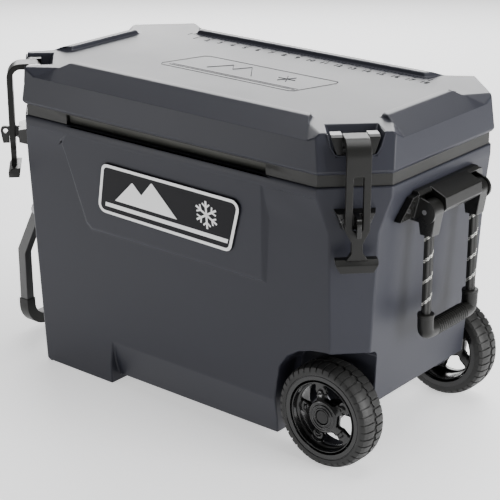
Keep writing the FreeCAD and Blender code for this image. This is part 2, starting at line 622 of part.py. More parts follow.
def tow_handle():
    half = TOW_DEEP / 2
    arm = prism_xz(tow_arm_outline(half), -TOW_Y - TOW_THICK / 2, -TOW_Y + TOW_THICK / 2)
    end = rod(TOW_PIVOT_X, -TOW_Y, TOW_PIVOT_Z, Y_AXIS, half + 1.5, TOW_THICK)
    arm = join([arm, end]).cut(rod(TOW_PIVOT_X, -TOW_Y, TOW_PIVOT_Z, Y_AXIS, TOW_PIN_R + RUN_GAP, 40))
    bar = join(both_sides(arm) + [tow_loop(TOW_DEEP, TOW_THICK)])
    deep, thick = TOW_DEEP + 2 * SLEEVE_WALL, TOW_THICK + 2 * SLEEVE_WALL
    end_sleeve = box(TOW_X - deep / 2, TOW_X + deep / 2, -TOW_Y - thick / 2, -TOW_Y + thick / 2,
                     TOW_LOW_Z + TOW_BEND_R, SLEEVE_TOP_Z)
    sleeve = join(both_sides(end_sleeve) + [tow_loop(deep, thick)]).cut(bar)
    return bar, sleeve


def tow_bracket():
    """Wall plate with a lug inside the arm."""
    z0, z1 = TOW_PIVOT_Z - 30, TOW_PIVOT_Z + 22
    inner = -TOW_Y + TOW_THICK / 2 + 0.5
    plate = prism_xz([(-wall_x(z0), z0), (-wall_x(z1), z1), (-wall_x(z1) - TOW_PLATE_T, z1),
                      (-wall_x(z0) - TOW_PLATE_T, z0)], -TOW_Y - 12, inner + TOW_LUG_W + 12)
    lug = prism_xz([(-wall_x(z0 + 6), z0 + 6), (-wall_x(z1 - 4), z1 - 4),
                    (TOW_PIVOT_X - 3, TOW_PIVOT_Z + 13), (TOW_PIVOT_X - 11, TOW_PIVOT_Z + 5),
                    (TOW_PIVOT_X - 11, TOW_PIVOT_Z - 8), (TOW_PIVOT_X, TOW_PIVOT_Z - 15)],
                   inner, inner + TOW_LUG_W)
    whole = join([plate, lug])
    return whole.cut(rod(TOW_PIVOT_X, -TOW_Y + 12, TOW_PIVOT_Z, Y_AXIS, TOW_PIN_R, 50))


def tow_pin():
    outer = -TOW_Y - TOW_THICK / 2 - 0.5
    inner = -TOW_Y + TOW_THICK / 2 + TOW_LUG_W + 0.5
    shank = Part.makeCylinder(TOW_PIN_R, inner - outer, Vec(TOW_PIVOT_X, outer, TOW_PIVOT_Z), Y_AXIS)
    head = Part.makeCylinder(TOW_PIN_R + 3.5, 3.0, Vec(TOW_PIVOT_X, outer - 3.0, TOW_PIVOT_Z), Y_AXIS)
    return join([shank, head])


def flare_x(z):
    """Right wall between knee and lip."""
    return KNEE_A + (RIM_A - KNEE_A) * (z - KNEE_Z) / (LIP_Z - KNEE_Z)


def wing():
    """Block on the wall outside the front knuckle, with the screw that holds the bracket."""
    start = -ROPE_Y - KNUCKLE_W / 2 - KNUCKLE_GAP
    outline = [(start, 357), (-104, 358), (-86, 390), (start, 392)]
    near = [(flare_x(z) - 1, y, z) for y, z in outline]
    far = [(flare_x(z) + WING_DEEP, y, z) for y, z in outline]
    return quad_block(near, far)


def carry_bracket():
    """Dark bracket under the right lip: back plate, beam between the knuckles, cheeks and wings."""
    low, top = KNEE_Z + 3, LIP_Z - 3
    back = [(flare_x(low), low), (flare_x(top), top), (flare_x(top) + 5, top), (flare_x(low) + 5, low)]
    plate = prism_xz(back, -75, 75)
    strip = prism_xz([(340, 388), (340, top), (350, top), (353, 391), (351, 388)], -75, 75)
    inner = ROPE_Y - KNUCKLE_W / 2 - KNUCKLE_GAP
    beam = prism_xz([(334, 363), (342, top), (350, top), (375, 385), (377, 370), (371, 363)], -inner, inner)
    outer = ROPE_Y + KNUCKLE_W / 2 + KNUCKLE_GAP
    cheek = prism_xz([(334, 353), (341, 390), (CARRY_X + 4, CARRY_Z + 16), (CARRY_X, CARRY_Z - 16)],
                     -outer - CHEEK_WIDE, -outer)
    cheek = join([cheek, rod(CARRY_X, -outer - CHEEK_WIDE / 2, CARRY_Z, Y_AXIS, CHEEK_R, CHEEK_WIDE)])
    whole = join([plate, strip, beam] + both_sides(cheek) + both_sides(wing()))
    whole = whole.cut(box(300, flare_x(LIP_Z), -200, 200, LIP_Z - 0.5, 500))
    wall = prism_xz([(300, KNEE_Z), (KNEE_A, KNEE_Z), (RIM_A, LIP_Z), (300, LIP_Z)], -200, 200)
    whole = whole.cut(wall)
    for pin in both_sides(carry_pin()):
        whole = whole.cut(pin)
    return whole


def carry_pin():
    start = -ROPE_Y - KNUCKLE_W / 2 - KNUCKLE_GAP - CHEEK_WIDE
    return Part.makeCylinder(CARRY_PIN_R, KNUCKLE_W + 12, Vec(CARRY_X, start, CARRY_Z), Y_AXIS)


def carry_knuckle():
    """Swivelling rope end: a barrel round the pin and a tapered leg that holds the rope."""
    y0, y1 = -ROPE_Y - KNUCKLE_W / 2, -ROPE_Y + KNUCKLE_W / 2
    barrel = rod(CARRY_X, -ROPE_Y, CARRY_Z, Y_AXIS, KNUCKLE_R, KNUCKLE_W)
    front, back = CARRY_X + KNUCKLE_R, CARRY_X - KNUCKLE_R
    leg = quad_block(
        [(back + 5, y0 + 1, ROPE_TOP_Z), (front - 5, y0 + 1, ROPE_TOP_Z),
         (front - 5, y1 - 1, ROPE_TOP_Z), (back + 5, y1 - 1, ROPE_TOP_Z)],
        [(back, y0, CARRY_Z), (front, y0, CARRY_Z), (front, y1, CARRY_Z), (back, y1, CARRY_Z)])
    whole = join([barrel, leg])
    return whole.cut(rod(CARRY_X, -ROPE_Y, CARRY_Z, Y_AXIS, CARRY_PIN_R + RUN_GAP, 60))


def carry_rope():
    return Part.makeCylinder(ROPE_R, ROPE_TOP_Z - ROPE_LOW_Z, Vec(CARRY_X, -ROPE_Y, ROPE_LOW_Z), Z_AXIS)


def carry_grip():
    """Rubber grip, a broad U whose ends take the ropes."""
    half = GRIP_THICK / 2
    inner = ROPE_Y - 12
    top = GRIP_LOW_Z + GRIP_BAR
    half_outline = [(inner - 9, top), (inner - 2, top + 5), (inner, ROPE_LOW_Z), (GRIP_Y, ROPE_LOW_Z),
                    (GRIP_Y, 200), (GRIP_Y - 7, 187), (GRIP_Y - 22, GRIP_LOW_Z)]
    outline = half_outline + [(-y, z) for y, z in reversed(half_outline)]
    grip = prism_yz(outline, CARRY_X - half, CARRY_X + half)
    return grip.makeChamfer(3.0, [e for e in grip.Edges if not along(e, X_AXIS)
                                  and abs(e.CenterOfMass.z - ROPE_LOW_Z) > 0.5])


def drain():
    """Outlet through the left wall, its seal and the plug."""
    wall = -wall_x(DRAIN_Z)
    inner = -STORE_X + STORE_TAPER * (1 - (DRAIN_Z - STORE_FLOOR) / (RIM_Z - STORE_FLOOR))
    bore = rod(wall, 0, DRAIN_Z, X_AXIS, DRAIN_BORE_R, 200)
    tube = Part.makeCylinder(DRAIN_R, inner - wall, Vec(wall, 0, DRAIN_Z), X_AXIS)
    flange = Part.makeCylinder(DRAIN_R + 7, 4.0, Vec(wall - 5.4, 0, DRAIN_Z), X_AXIS)
    stub = Part.makeCylinder(DRAIN_R, 5.6, Vec(wall - 5.5, 0, DRAIN_Z), X_AXIS)
    seal = Part.makeCylinder(DRAIN_R + 5, 1.0, Vec(wall - 1.4, 0, DRAIN_Z), X_AXIS)
    cap = Part.makeCylinder(DRAIN_R + 2, 11.0, Vec(wall - 17.0, 0, DRAIN_Z), X_AXIS)
    grip = box(wall - 26, wall - 16, -15, 15, DRAIN_Z - 4, DRAIN_Z + 4)
    shank = Part.makeCylinder(DRAIN_BORE_R - 0.4, 24.0, Vec(wall - 17.0, 0, DRAIN_Z), X_AXIS)
    tub_wall = tub_envelope()
    seal = seal.cut(rod(wall, 0, DRAIN_Z, X_AXIS, DRAIN_R, 60)).cut(tub_wall)
    return {"drain_body": join([tube, flange, stub]).cut(bore), "drain_seal": seal,
            "drain_plug": join([cap, grip, shank])}


def screws():
    """Screw heads, one group for each piece that they hold."""
    groups = {}
    heads = []
    for side in (-1, 1):
        for s in (-17.0, 17.0):
            heads.append(corner(dome_screw(Vec(s, -KEEPER_DEEP, 373), Vec(0, -1, 0)), side))
    groups["keeper_screws"] = heads
    face = RIM_B + LID_PROUD + 4.3
    groups["lid_hinge_screws"] = [dome_screw(Vec(x + step, face, 450), Y_AXIS) for x in (-HINGE_X, HINGE_X)
                                  for step in (-22, 0, 22)]
    lean = Vec(0, LIP_Z - KNEE_Z, -(RIM_B - KNEE_B)).normalize()
    groups["hinge_screws"] = [dome_screw(Vec(x + step, 194.2, 387.0), lean) for x in (-HINGE_X, HINGE_X)
                              for step in (-22, 0, 22)]
    flare = Vec(LIP_Z - KNEE_Z, 0, -(RIM_A - KNEE_A)).normalize()
    groups["carry_screws"] = [dome_screw(Vec(flare_x(CARRY_SCREW_Z) + WING_DEEP, y, CARRY_SCREW_Z), flare)
                              for y in (-CARRY_SCREW_Y, CARRY_SCREW_Y)]
    end_wall = Vec(-1, 0, -DRAFT).normalize()
    groups["tow_screws"] = [dome_screw(Vec(-wall_x(z) - TOW_PLATE_T, y, z), end_wall)
                            for y in (-TOW_SCREW_Y, TOW_SCREW_Y) for z in TOW_SCREW_Z]
    return {name: Part.makeCompound(heads) for name, heads in groups.items()}


def cooler():
    parts = tubs()
    parts["badge_plate"] = badge_plate()
    shell, foam = lid_shell_and_foam()
    frame, hollow = lid_frame()
    for name, side in (("left", -1), ("right", 1)):
        parts["keeper_" + name] = corner(keeper(), side)
        parts["latch_strap_" + name] = corner(strap(), side)
        parts["latch_bracket_" + name] = corner(latch_bracket(), side)
        parts["latch_pin_" + name] = corner(latch_pin(), side)
        parts["body_hinge_" + name] = body_hinge(side * HINGE_X)
        parts["lid_hinge_" + name] = lid_hinge(side * HINGE_X)
        parts["hinge_pin_" + name] = hinge_pin(side * HINGE_X)
    parts["lid_shell"] = shell
    parts["lid_foam"] = join([foam, hollow])
    parts["lid_frame"] = frame
    parts["lid_gasket"] = gasket_ring(RIM_Z + 0.2, RIM_Z + LID_GAP + 3.8, 5.0)
    tow_bar, tow_sleeve = tow_handle()
    parts["tow_frame"] = tow_bar
    parts["tow_grip"] = tow_sleeve
    parts["carry_bracket"] = carry_bracket()
    parts["carry_grip"] = carry_grip()
    paired = {"wheel_rim": wheel_rim(), "wheel_tyre": wheel_tyre(), "tow_bracket": tow_bracket(),
              "tow_pin": tow_pin(), "carry_pin": carry_pin(), "carry_knuckle": carry_knuckle(),
              "carry_rope": carry_rope()}
    for name, shape in paired.items():
        parts[name + "_front"] = shape
        parts[name + "_back"] = mirrored(shape)
    parts.update(axle_parts())
    parts.update(drain())
    parts.update(screws())
    return parts


def main():
    os.makedirs("parts", exist_ok=True)
    parts = cooler()
    reach = Part.makeCompound(list(parts.values())).optimalBoundingBox(False)
    shift = Vec(-(reach.XMin + reach.XMax) / 2, -(reach.YMin + reach.YMax) / 2, -reach.ZMin)
    for name, shape in sorted(parts.items()):
        placed = shape.copy()
        placed.translate(shift)
        placed.exportStep("parts/" + name + ".step")


main()
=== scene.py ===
import math

import bmesh
import bpy
from mathutils import Matrix, Vector


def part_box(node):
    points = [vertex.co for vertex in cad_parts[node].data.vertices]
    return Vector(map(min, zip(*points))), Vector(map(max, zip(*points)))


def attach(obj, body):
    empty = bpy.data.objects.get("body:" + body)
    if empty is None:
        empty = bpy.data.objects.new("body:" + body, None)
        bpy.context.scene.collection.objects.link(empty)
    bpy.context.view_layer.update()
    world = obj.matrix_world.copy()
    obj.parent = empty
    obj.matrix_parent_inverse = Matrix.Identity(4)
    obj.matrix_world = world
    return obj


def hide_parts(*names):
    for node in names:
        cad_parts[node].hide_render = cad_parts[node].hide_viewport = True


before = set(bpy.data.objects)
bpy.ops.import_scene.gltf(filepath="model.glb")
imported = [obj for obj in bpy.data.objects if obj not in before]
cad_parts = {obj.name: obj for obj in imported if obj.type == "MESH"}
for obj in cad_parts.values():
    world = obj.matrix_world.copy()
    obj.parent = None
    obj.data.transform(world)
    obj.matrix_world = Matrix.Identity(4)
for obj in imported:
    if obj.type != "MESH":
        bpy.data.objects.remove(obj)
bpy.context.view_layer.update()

MM = 0.001
UP = Vector((0, 0, 1))

# The middle of the tub, from which every place below is measured in millimetres
TUB_LOW, TUB_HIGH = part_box("outer_shell")
MIDDLE = Vector(((TUB_LOW.x + TUB_HIGH.x) / 2, (TUB_LOW.y + TUB_HIGH.y) / 2, 0.0))
MILLIMETRES = Matrix.Diagonal((MM, MM, MM, 1.0))
TUB_FRAME = Matrix.Translation(MIDDLE) @ MILLIMETRES
CORNER_X, CORNER_Y = 307, -157


def at(x, y, z):
    """A place measured from the middle of the tub's base, in millimetres."""
    return MIDDLE + Vector((x, y, z)) * MM


def corner_frame(side):
    """Places on a front corner face: along it, out of it as -y, and up. Side 1 is right, -1 left."""
    turn = Matrix.Rotation(math.radians(45 * side), 4, "Z")
    return Matrix.Translation(at(side * CORNER_X, CORNER_Y, 0)) @ turn @ MILLIMETRES


# ---------------------------------------------------------------- camera, light and floor

CAMERA_TURN, CAMERA_RISE = math.radians(39.19), math.radians(20.97)
CAMERA_AIM = (3.83, 0, 207.93)
CAMERA_METRES = 2.3803
CAMERA_LENS = 112.48


def camera():
    azimuth, elevation = CAMERA_TURN, CAMERA_RISE
    back = Vector((math.sin(azimuth) * math.cos(elevation), -math.cos(azimuth) * math.cos(elevation),
                   math.sin(elevation)))
    data = bpy.data.cameras.new("camera")
    data.sensor_width = 36.0
    data.lens = CAMERA_LENS
    data.clip_end = 30.0
    seen = bpy.data.objects.new("camera", data)
    seen.location = at(*CAMERA_AIM) + back * CAMERA_METRES
    seen.rotation_euler = back.to_track_quat("Z", "Y").to_euler()
    bpy.context.scene.collection.objects.link(seen)
    bpy.context.scene.camera = seen


def soft_light(name, place, aim, size, power):
    data = bpy.data.lights.new(name, "AREA")
    data.shape = "RECTANGLE"
    data.size, data.size_y = size
    data.energy = power
    lamp = bpy.data.objects.new(name, data)
    lamp.location = place
    lamp.rotation_euler = (Vector(place) - Vector(aim)).to_track_quat("Z", "Y").to_euler()
    bpy.context.scene.collection.objects.link(lamp)


FLOOR_GLOW, WORLD_GLOW = 0.75, 0.22


def studio():
    """Pale glowing floor, a dim white surround and four soft lamps."""
    form = bmesh.new()
    bmesh.ops.create_grid(form, x_segments=1, y_segments=1, size=9.0)
    mesh = bpy.data.meshes.new("floor")
    form.to_mesh(mesh)
    form.free()
    material = bpy.data.materials.new("pale floor")
    material.use_nodes = True
    surface = material.node_tree.nodes["Principled BSDF"]
    surface.inputs["Base Color"].default_value = (0.9, 0.9, 0.91, 1.0)
    surface.inputs["Roughness"].default_value = 0.7
    surface.inputs["Emission Color"].default_value = (1.0, 1.0, 1.0, 1.0)
    surface.inputs["Emission Strength"].default_value = FLOOR_GLOW
    mesh.materials.append(material)
    floor = bpy.data.objects.new("floor", mesh)
    bpy.context.scene.collection.objects.link(floor)
    world = bpy.data.worlds.new("studio")
    world.use_nodes = True
    world.node_tree.nodes["Background"].inputs["Color"].default_value = (1.0, 1.0, 1.0, 1.0)
    world.node_tree.nodes["Background"].inputs["Strength"].default_value = WORLD_GLOW
    bpy.context.scene.world = world
    soft_light("top", (0.2, 0.3, 1.9), (0, 0, 0.45), (1.6, 1.2), 34.0)
    soft_light("behind", (-1.7, 2.1, 1.15), (0, 0, 0.5), (2.6, 1.0), 78.0)
    soft_light("right", (2.2, 0.25, 0.75), (0.3, 0, 0.28), (1.1, 1.1), 62.0)
    soft_light("left", (-1.3, -1.9, 0.35), (0, 0, 0.35), (0.5, 0.5), 9.0)


camera()
studio()


# ---------------------------------------------------------------- node groups

def new_group(name, inputs, outputs):
    """A shader node group with its input and output nodes; sockets are (name, kind, default)."""
    group = bpy.data.node_groups.new(name, "ShaderNodeTree")
    for label, kind, value in inputs:
        socket = group.interface.new_socket(name=label, in_out="INPUT", socket_type=kind)
        if value is not None:
            socket.default_value = value
    for label, kind in outputs:
        group.interface.new_socket(name=label, in_out="OUTPUT", socket_type=kind)
    return group, group.nodes.new("NodeGroupInput"), group.nodes.new("NodeGroupOutput")


def feed(tree, value, socket):
    """Link a socket, or set a plain value."""
    if isinstance(value, bpy.types.NodeSocket):
        tree.links.new(value, socket)
    else:
        socket.default_value = value


def math_node(tree, operation, first, second=None, clamp=False):
    node = tree.nodes.new("ShaderNodeMath")
    node.operation = operation
    node.use_clamp = clamp
    feed(tree, first, node.inputs[0])
    if second is not None:
        feed(tree, second, node.inputs[1])
    return node.outputs[0]


def noise(tree, vector, scale, detail=3.0, rough=0.55):
    node = tree.nodes.new("ShaderNodeTexNoise")
    node.inputs["Detail"].default_value = detail
    node.inputs["Roughness"].default_value = rough
    feed(tree, scale, node.inputs["Scale"])
    tree.links.new(vector, node.inputs["Vector"])
    return node.outputs["Fac"]


def ramp(tree, value, low, high, new_low=0.0, new_high=1.0):
    """Value stretched so that low becomes new_low and high becomes new_high."""
    node = tree.nodes.new("ShaderNodeMapRange")
    for label, number in (("From Min", low), ("From Max", high), ("To Min", new_low), ("To Max", new_high)):
        node.inputs[label].default_value = number
    tree.links.new(value, node.inputs["Value"])
    return node.outputs[0]


def mix_colour(tree, share, first, second):
    node = tree.nodes.new("ShaderNodeMix")
    node.data_type = "RGBA"
    for socket, value in ((node.inputs[0], share), (node.inputs[6], first), (node.inputs[7], second)):
        feed(tree, value, socket)
    return node.outputs[2]


def edge_wear_group():
    """Mask that is 1 on rounded outside edges, broken up by noise: it stands for rubbed wear and a painted
    edge highlight together.
    """
    group, given, made = new_group(
        "edge wear and painted highlight", [("Vector", "NodeSocketVector", None), ("Reach", "NodeSocketFloat", 0.0015),
                     ("Break Up", "NodeSocketFloat", 90.0)], [("Mask", "NodeSocketFloat")])
    # The Bevel node against the true normal finds rounded outside edges; their lightening is partly rubbed
    # wear, partly painted highlight
    rounding = group.nodes.new("ShaderNodeBevel")
    rounding.samples = 4
    group.links.new(given.outputs["Reach"], rounding.inputs["Radius"])
    surface = group.nodes.new("ShaderNodeNewGeometry")
    dot = group.nodes.new("ShaderNodeVectorMath")
    dot.operation = "DOT_PRODUCT"
    group.links.new(rounding.outputs["Normal"], dot.inputs[0])
    group.links.new(surface.outputs["Normal"], dot.inputs[1])
    bent = math_node(group, "SUBTRACT", 1.0, dot.outputs["Value"], clamp=True)
    strong = ramp(group, bent, 0.02, 0.22)
    patchy = ramp(group, noise(group, given.outputs["Vector"], given.outputs["Break Up"]), 0.3, 0.65)
    group.links.new(math_node(group, "MULTIPLY", strong, patchy), made.inputs["Mask"])
    return group


def grain_group():
    """Moulded grain: a fine height, a slow tone, and a few fine scuffs."""
    group, given, made = new_group(
        "moulded grain", [("Vector", "NodeSocketVector", None), ("Fine", "NodeSocketFloat", 900.0),
                          ("Slow", "NodeSocketFloat", 7.0)],
        [("Height", "NodeSocketFloat"), ("Tone", "NodeSocketFloat"), ("Scuff", "NodeSocketFloat")])
    vector = given.outputs["Vector"]
    group.links.new(noise(group, vector, given.outputs["Fine"], 2.0), made.inputs["Height"])
    group.links.new(noise(group, vector, given.outputs["Slow"], 4.0), made.inputs["Tone"])
    stretch = group.nodes.new("ShaderNodeMapping")
    stretch.inputs["Scale"].default_value = (30.0, 30.0, 420.0)
    stretch.inputs["Rotation"].default_value = (0.5, 0.9, 0.3)
    group.links.new(vector, stretch.inputs["Vector"])
    streak = ramp(group, noise(group, stretch.outputs["Vector"], 1.0, 2.0), 0.68, 0.78)
    place = ramp(group, noise(group, vector, 14.0, 2.0), 0.55, 0.7)
    group.links.new(math_node(group, "MULTIPLY", streak, place), made.inputs["Scuff"])
    return group


EDGE_WEAR_AND_HIGHLIGHT = edge_wear_group()
GRAIN = grain_group()


def new_material(name):
    material = bpy.data.materials.new(name)
    material.use_nodes = True
    return material, material.node_tree, material.node_tree.nodes["Principled BSDF"]


def placed_group(tree, group, vector, **values):
    node = tree.nodes.new("ShaderNodeGroup")
    node.node_tree = group
    tree.links.new(vector, node.inputs["Vector"])
    for label, value in values.items():
        node.inputs[label].default_value = value
    return node


def moulded(name, colour, rough, fine=900.0, depth=0.00006, vary=0.12, rub_and_highlight=0.25, reach=0.0015,
            rough_vary=0.10, specular=0.5, metallic=0.0):
    """Moulded plastic, rubber or painted metal: grain, slow tone, scuffs, and outside edges lightened as
    rubbed wear and painted highlight.
    """
    material, tree, surface = new_material(name)
    vector = tree.nodes.new("ShaderNodeTexCoord").outputs["Object"]
    grain = placed_group(tree, GRAIN, vector, Fine=fine)
    edge = placed_group(tree, EDGE_WEAR_AND_HIGHLIGHT, vector, Reach=reach)
    dark = tuple(c * (1.0 - vary) for c in colour) + (1.0,)
    light = tuple(min(1.0, c * (1.0 + vary)) for c in colour) + (1.0,)
    worn_and_highlight_colour = tuple(min(1.0, c * 2.2 + 0.02) for c in colour) + (1.0,)
    body = mix_colour(tree, ramp(tree, grain.outputs["Tone"], 0.3, 0.7), dark, light)
    body = mix_colour(tree, math_node(tree, "MULTIPLY", grain.outputs["Scuff"], 0.12), body, worn_and_highlight_colour)
    # Outside edges lightened: rubbed wear together with a painted edge highlight
    rubbed_and_highlight = math_node(tree, "MULTIPLY", edge.outputs["Mask"], rub_and_highlight)
    tree.links.new(mix_colour(tree, rubbed_and_highlight, body, worn_and_highlight_colour), surface.inputs["Base Color"])
    spread = ramp(tree, grain.outputs["Tone"], 0.0, 1.0, rough - rough_vary / 2, rough + rough_vary / 2)
    tree.links.new(spread, surface.inputs["Roughness"])
    bump = tree.nodes.new("ShaderNodeBump")
    bump.inputs["Distance"].default_value = depth
    tree.links.new(grain.outputs["Height"], bump.inputs["Height"])
    tree.links.new(bump.outputs["Normal"], surface.inputs["Normal"])
    surface.inputs["Specular IOR Level"].default_value = specular
    surface.inputs["Metallic"].default_value = metallic
    return material


def brushed_steel(name, colour=(0.35, 0.35, 0.36)):
    material, tree, surface = new_material(name)
    vector = tree.nodes.new("ShaderNodeTexCoord").outputs["Object"]
    stretch = tree.nodes.new("ShaderNodeMapping")
    stretch.inputs["Scale"].default_value = (900.0, 40.0, 900.0)
    tree.links.new(vector, stretch.inputs["Vector"])
    lines = noise(tree, stretch.outputs["Vector"], 1.0, 3.0)
    dark = tuple(c * 0.8 for c in colour) + (1.0,)
    tree.links.new(mix_colour(tree, lines, dark, colour + (1.0,)), surface.inputs["Base Color"])
    surface.inputs["Metallic"].default_value = 1.0
    tree.links.new(ramp(tree, lines, 0.0, 1.0, 0.25, 0.47), surface.inputs["Roughness"])
    return material


SHELL_GREY = moulded("shell grey", (0.022, 0.023, 0.031), 0.40, fine=1100.0, depth=0.00004,
                     vary=0.05, rub_and_highlight=0.14, specular=0.22)
BAND_BLACK = moulded("band black", (0.013, 0.013, 0.012), 0.40, fine=1200.0, depth=0.00005,
                     specular=0.3)
# Paler band plastic for the back of the finger recess: painted light, standing in for the front light that
# does not reach into it
RECESS_PAINTED_LIGHT = moulded("band painted light", (0.11, 0.11, 0.10), 0.45, fine=1200.0, depth=0.00005)
TRIM_BLACK = moulded("trim black", (0.006, 0.006, 0.0055), 0.28, fine=1300.0, depth=0.00004,
                     specular=0.4)
RUBBER = moulded("strap rubber", (0.008, 0.008, 0.0072), 0.40, fine=1600.0, depth=0.00005,
                 rub_and_highlight=0.12, specular=0.28)
TYRE_BLACK = moulded("tyre rubber", (0.013, 0.013, 0.0125), 0.5, fine=700.0, depth=0.0001,
                     vary=0.2, rub_and_highlight=0.3, specular=0.35)
WHEEL_BLACK = moulded("wheel black", (0.005, 0.005, 0.005), 0.22, fine=1500.0, depth=0.00003,
                      rub_and_highlight=0.15)
LINER_WHITE = moulded("liner white", (0.74, 0.75, 0.75), 0.35, fine=800.0, depth=0.00004,
                      vary=0.03, rub_and_highlight=0.0)
FOAM_CREAM = moulded("foam cream", (0.7, 0.62, 0.4), 0.8, fine=500.0, depth=0.0003, vary=0.1,
                     rub_and_highlight=0.0)
TOW_GREY = moulded("tow satin", (0.075, 0.075, 0.075), 0.33, fine=1500.0, depth=0.00003,
                   metallic=0.3)
BADGE_BLACK = moulded("badge black", (0.004, 0.004, 0.006), 0.5, fine=1500.0, depth=0.00002,
                      rub_and_highlight=0.1, specular=0.15)
BADGE_WHITE = moulded("badge white", (0.86, 0.86, 0.86), 0.35, fine=1500.0, depth=0.00002,
                      vary=0.02, rub_and_highlight=0.0)
ROPE_BLACK = moulded("rope black", (0.009, 0.009, 0.0085), 0.6, fine=2500.0, depth=0.0001,
                     rub_and_highlight=0.05, reach=0.0004)
ROPE_WHITE = moulded("rope fleck", (0.8, 0.8, 0.76), 0.6, fine=2500.0, depth=0.0001, vary=0.05,
                     rub_and_highlight=0.0)
# Dark marks on the lid: painted shade standing in for the shadow inside moulded grooves
GROOVE_SHADE_GREY = moulded("painted groove shade", (0.012, 0.012, 0.015), 0.8, fine=1500.0, depth=0.00002,
                   rub_and_highlight=0.0, specular=0.1)
AXLE_DARK = moulded("axle dark", (0.010, 0.010, 0.010), 0.35, metallic=0.4, rub_and_highlight=0.2,
                    reach=0.0004)
STEEL = brushed_steel("zinc steel")
SCREW_DARK = moulded("screw dark", (0.07, 0.07, 0.07), 0.3, metallic=0.8, rub_and_highlight=0.4, reach=0.0004)


# ---------------------------------------------------------------- tools for pieces

def smooth_by_angle(mesh, degrees):
    for polygon in mesh.polygons:
        polygon.use_smooth = True
    mesh.set_sharp_from_angle(angle=math.radians(degrees))


def piece(name, form, materials, body, replaces=(), weighted=True, sharp=40.0, levels=0):
    """Finish a bmesh as a named object that rides on a body and stands for CAD nodes."""
    mesh = bpy.data.meshes.new(name)
    form.to_mesh(mesh)
    form.free()
    for material in materials if isinstance(materials, (list, tuple)) else [materials]:
        mesh.materials.append(material)
    smooth_by_angle(mesh, sharp)
    thing = bpy.data.objects.new(name, mesh)
    bpy.context.scene.collection.objects.link(thing)
    if levels:
        rounder = thing.modifiers.new("rounder", "SUBSURF")
        rounder.levels = rounder.render_levels = levels
    elif weighted:
        even = thing.modifiers.new("even normals", "WEIGHTED_NORMAL")
        even.keep_sharp = True
        even.weight = 60
    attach(thing, body)
    if replaces:
        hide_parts(*replaces)
    return thing


def bevel(form, edges, width, segments=2):
    bmesh.ops.bevel(form, geom=edges, offset=width, offset_type="OFFSET", segments=segments, profile=0.5,
                    affect="EDGES", material=-1, clamp_overlap=False)


def node_copy(node, flat_degrees=1.0):
    """A copy of a CAD node's mesh with its doubles merged and its flat faces joined up."""
    form = bmesh.new()
    form.from_mesh(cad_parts[node].data)
    bmesh.ops.remove_doubles(form, verts=form.verts, dist=0.00002)
    bmesh.ops.dissolve_limit(form, angle_limit=math.radians(flat_degrees), verts=form.verts, edges=form.edges)
    return form


def corner_edges(form, degrees=25.0, wanted=None):
    limit = math.radians(degrees)
    return [edge for edge in form.edges
            if len(edge.link_faces) == 2 and edge.calc_face_angle(0.0) > limit
            and (wanted is None or wanted(edge))]


def soften_node(node, name, material, body, width, segments=2, degrees=25.0, wanted=None):
    """Stand-in for a CAD node with its corners rounded off."""
    form = node_copy(node)
    bevel(form, corner_edges(form, degrees, wanted), width * MM, segments)
    return piece(name, form, material, body, replaces=(node,))


def hull(form, points, place, rounding=0.0):
    """Add the convex block round some points, with its edges rounded."""
    block = bmesh.new()
    for point in points:
        block.verts.new(point)
    bmesh.ops.convex_hull(block, input=block.verts)
    bmesh.ops.dissolve_limit(block, angle_limit=math.radians(1.0), verts=block.verts, edges=block.edges)
    if rounding:
        bevel(block, block.edges[:], rounding)
    bmesh.ops.recalc_face_normals(block, faces=block.faces)
    add(form, block, place)


def add(form, other, place=Matrix.Identity(4)):
    """Join another bmesh into this one, placed by a matrix."""
    bmesh.ops.transform(other, matrix=place, verts=other.verts)
    mesh = bpy.data.meshes.new("join")
    other.to_mesh(mesh)
    other.free()
    form.from_mesh(mesh)
    bpy.data.meshes.remove(mesh)


def box_points(x0, x1, y0, y1, z0, z1):
    return [(x, y, z) for x in (x0, x1) for y in (y0, y1) for z in (z0, z1)]


def rod(form, start, end, radius, place=Matrix.Identity(4), sides=32, rounding=0.0):
    """Add a cylinder from start to end, its rims rounded."""
    start, end = Vector(start), Vector(end)
    post = bmesh.new()
    bmesh.ops.create_cone(post, cap_ends=True, segments=sides, radius1=radius, radius2=radius,
                          depth=(end - start).length)
    if rounding:
        bevel(post, corner_edges(post, 60.0), rounding, 2)
    turn = (end - start).to_track_quat("Z", "Y").to_matrix().to_4x4()
    add(form, post, place @ Matrix.Translation((start + end) / 2) @ turn)


def round_corners(loop, steps=5):
    """Points of an outline of (x, y, radius) corners, each corner turned into an arc."""
    points = []
    for i, (x, y, radius) in enumerate(loop):
        here = Vector((x, y))
        before = (Vector(loop[i - 1][:2]) - here).normalized()
        after = (Vector(loop[(i + 1) % len(loop)][:2]) - here).normalized()
        half = math.acos(max(-1.0, min(1.0, before.dot(after)))) / 2
        if not radius or half > 1.55:
            points.append(here)
            continue
        cut = radius / math.tan(half)
        centre = here + (before + after).normalized() * (radius / math.sin(half))
        start, end = here + before * cut - centre, here + after * cut - centre
        swing = math.atan2(start.x * end.y - start.y * end.x, start.dot(end))
        for step in range(steps + 1):
            turn = Matrix.Rotation(swing * step / steps, 2)
            points.append(centre + turn @ start)
    return points


def sheet_from_outline(loops):
    """A flat face drawn in x and y from loops of (x, y, corner radius); the first is the outside."""
    form = bmesh.new()
    for loop in loops:
        verts = [form.verts.new((point.x, point.y, 0.0)) for point in round_corners(loop)]
        for pair in zip(verts, verts[1:] + verts[:1]):
            form.edges.new(pair)
    bmesh.ops.triangle_fill(form, use_beauty=True, use_dissolve=False, edges=form.edges[:], normal=UP)
    return form


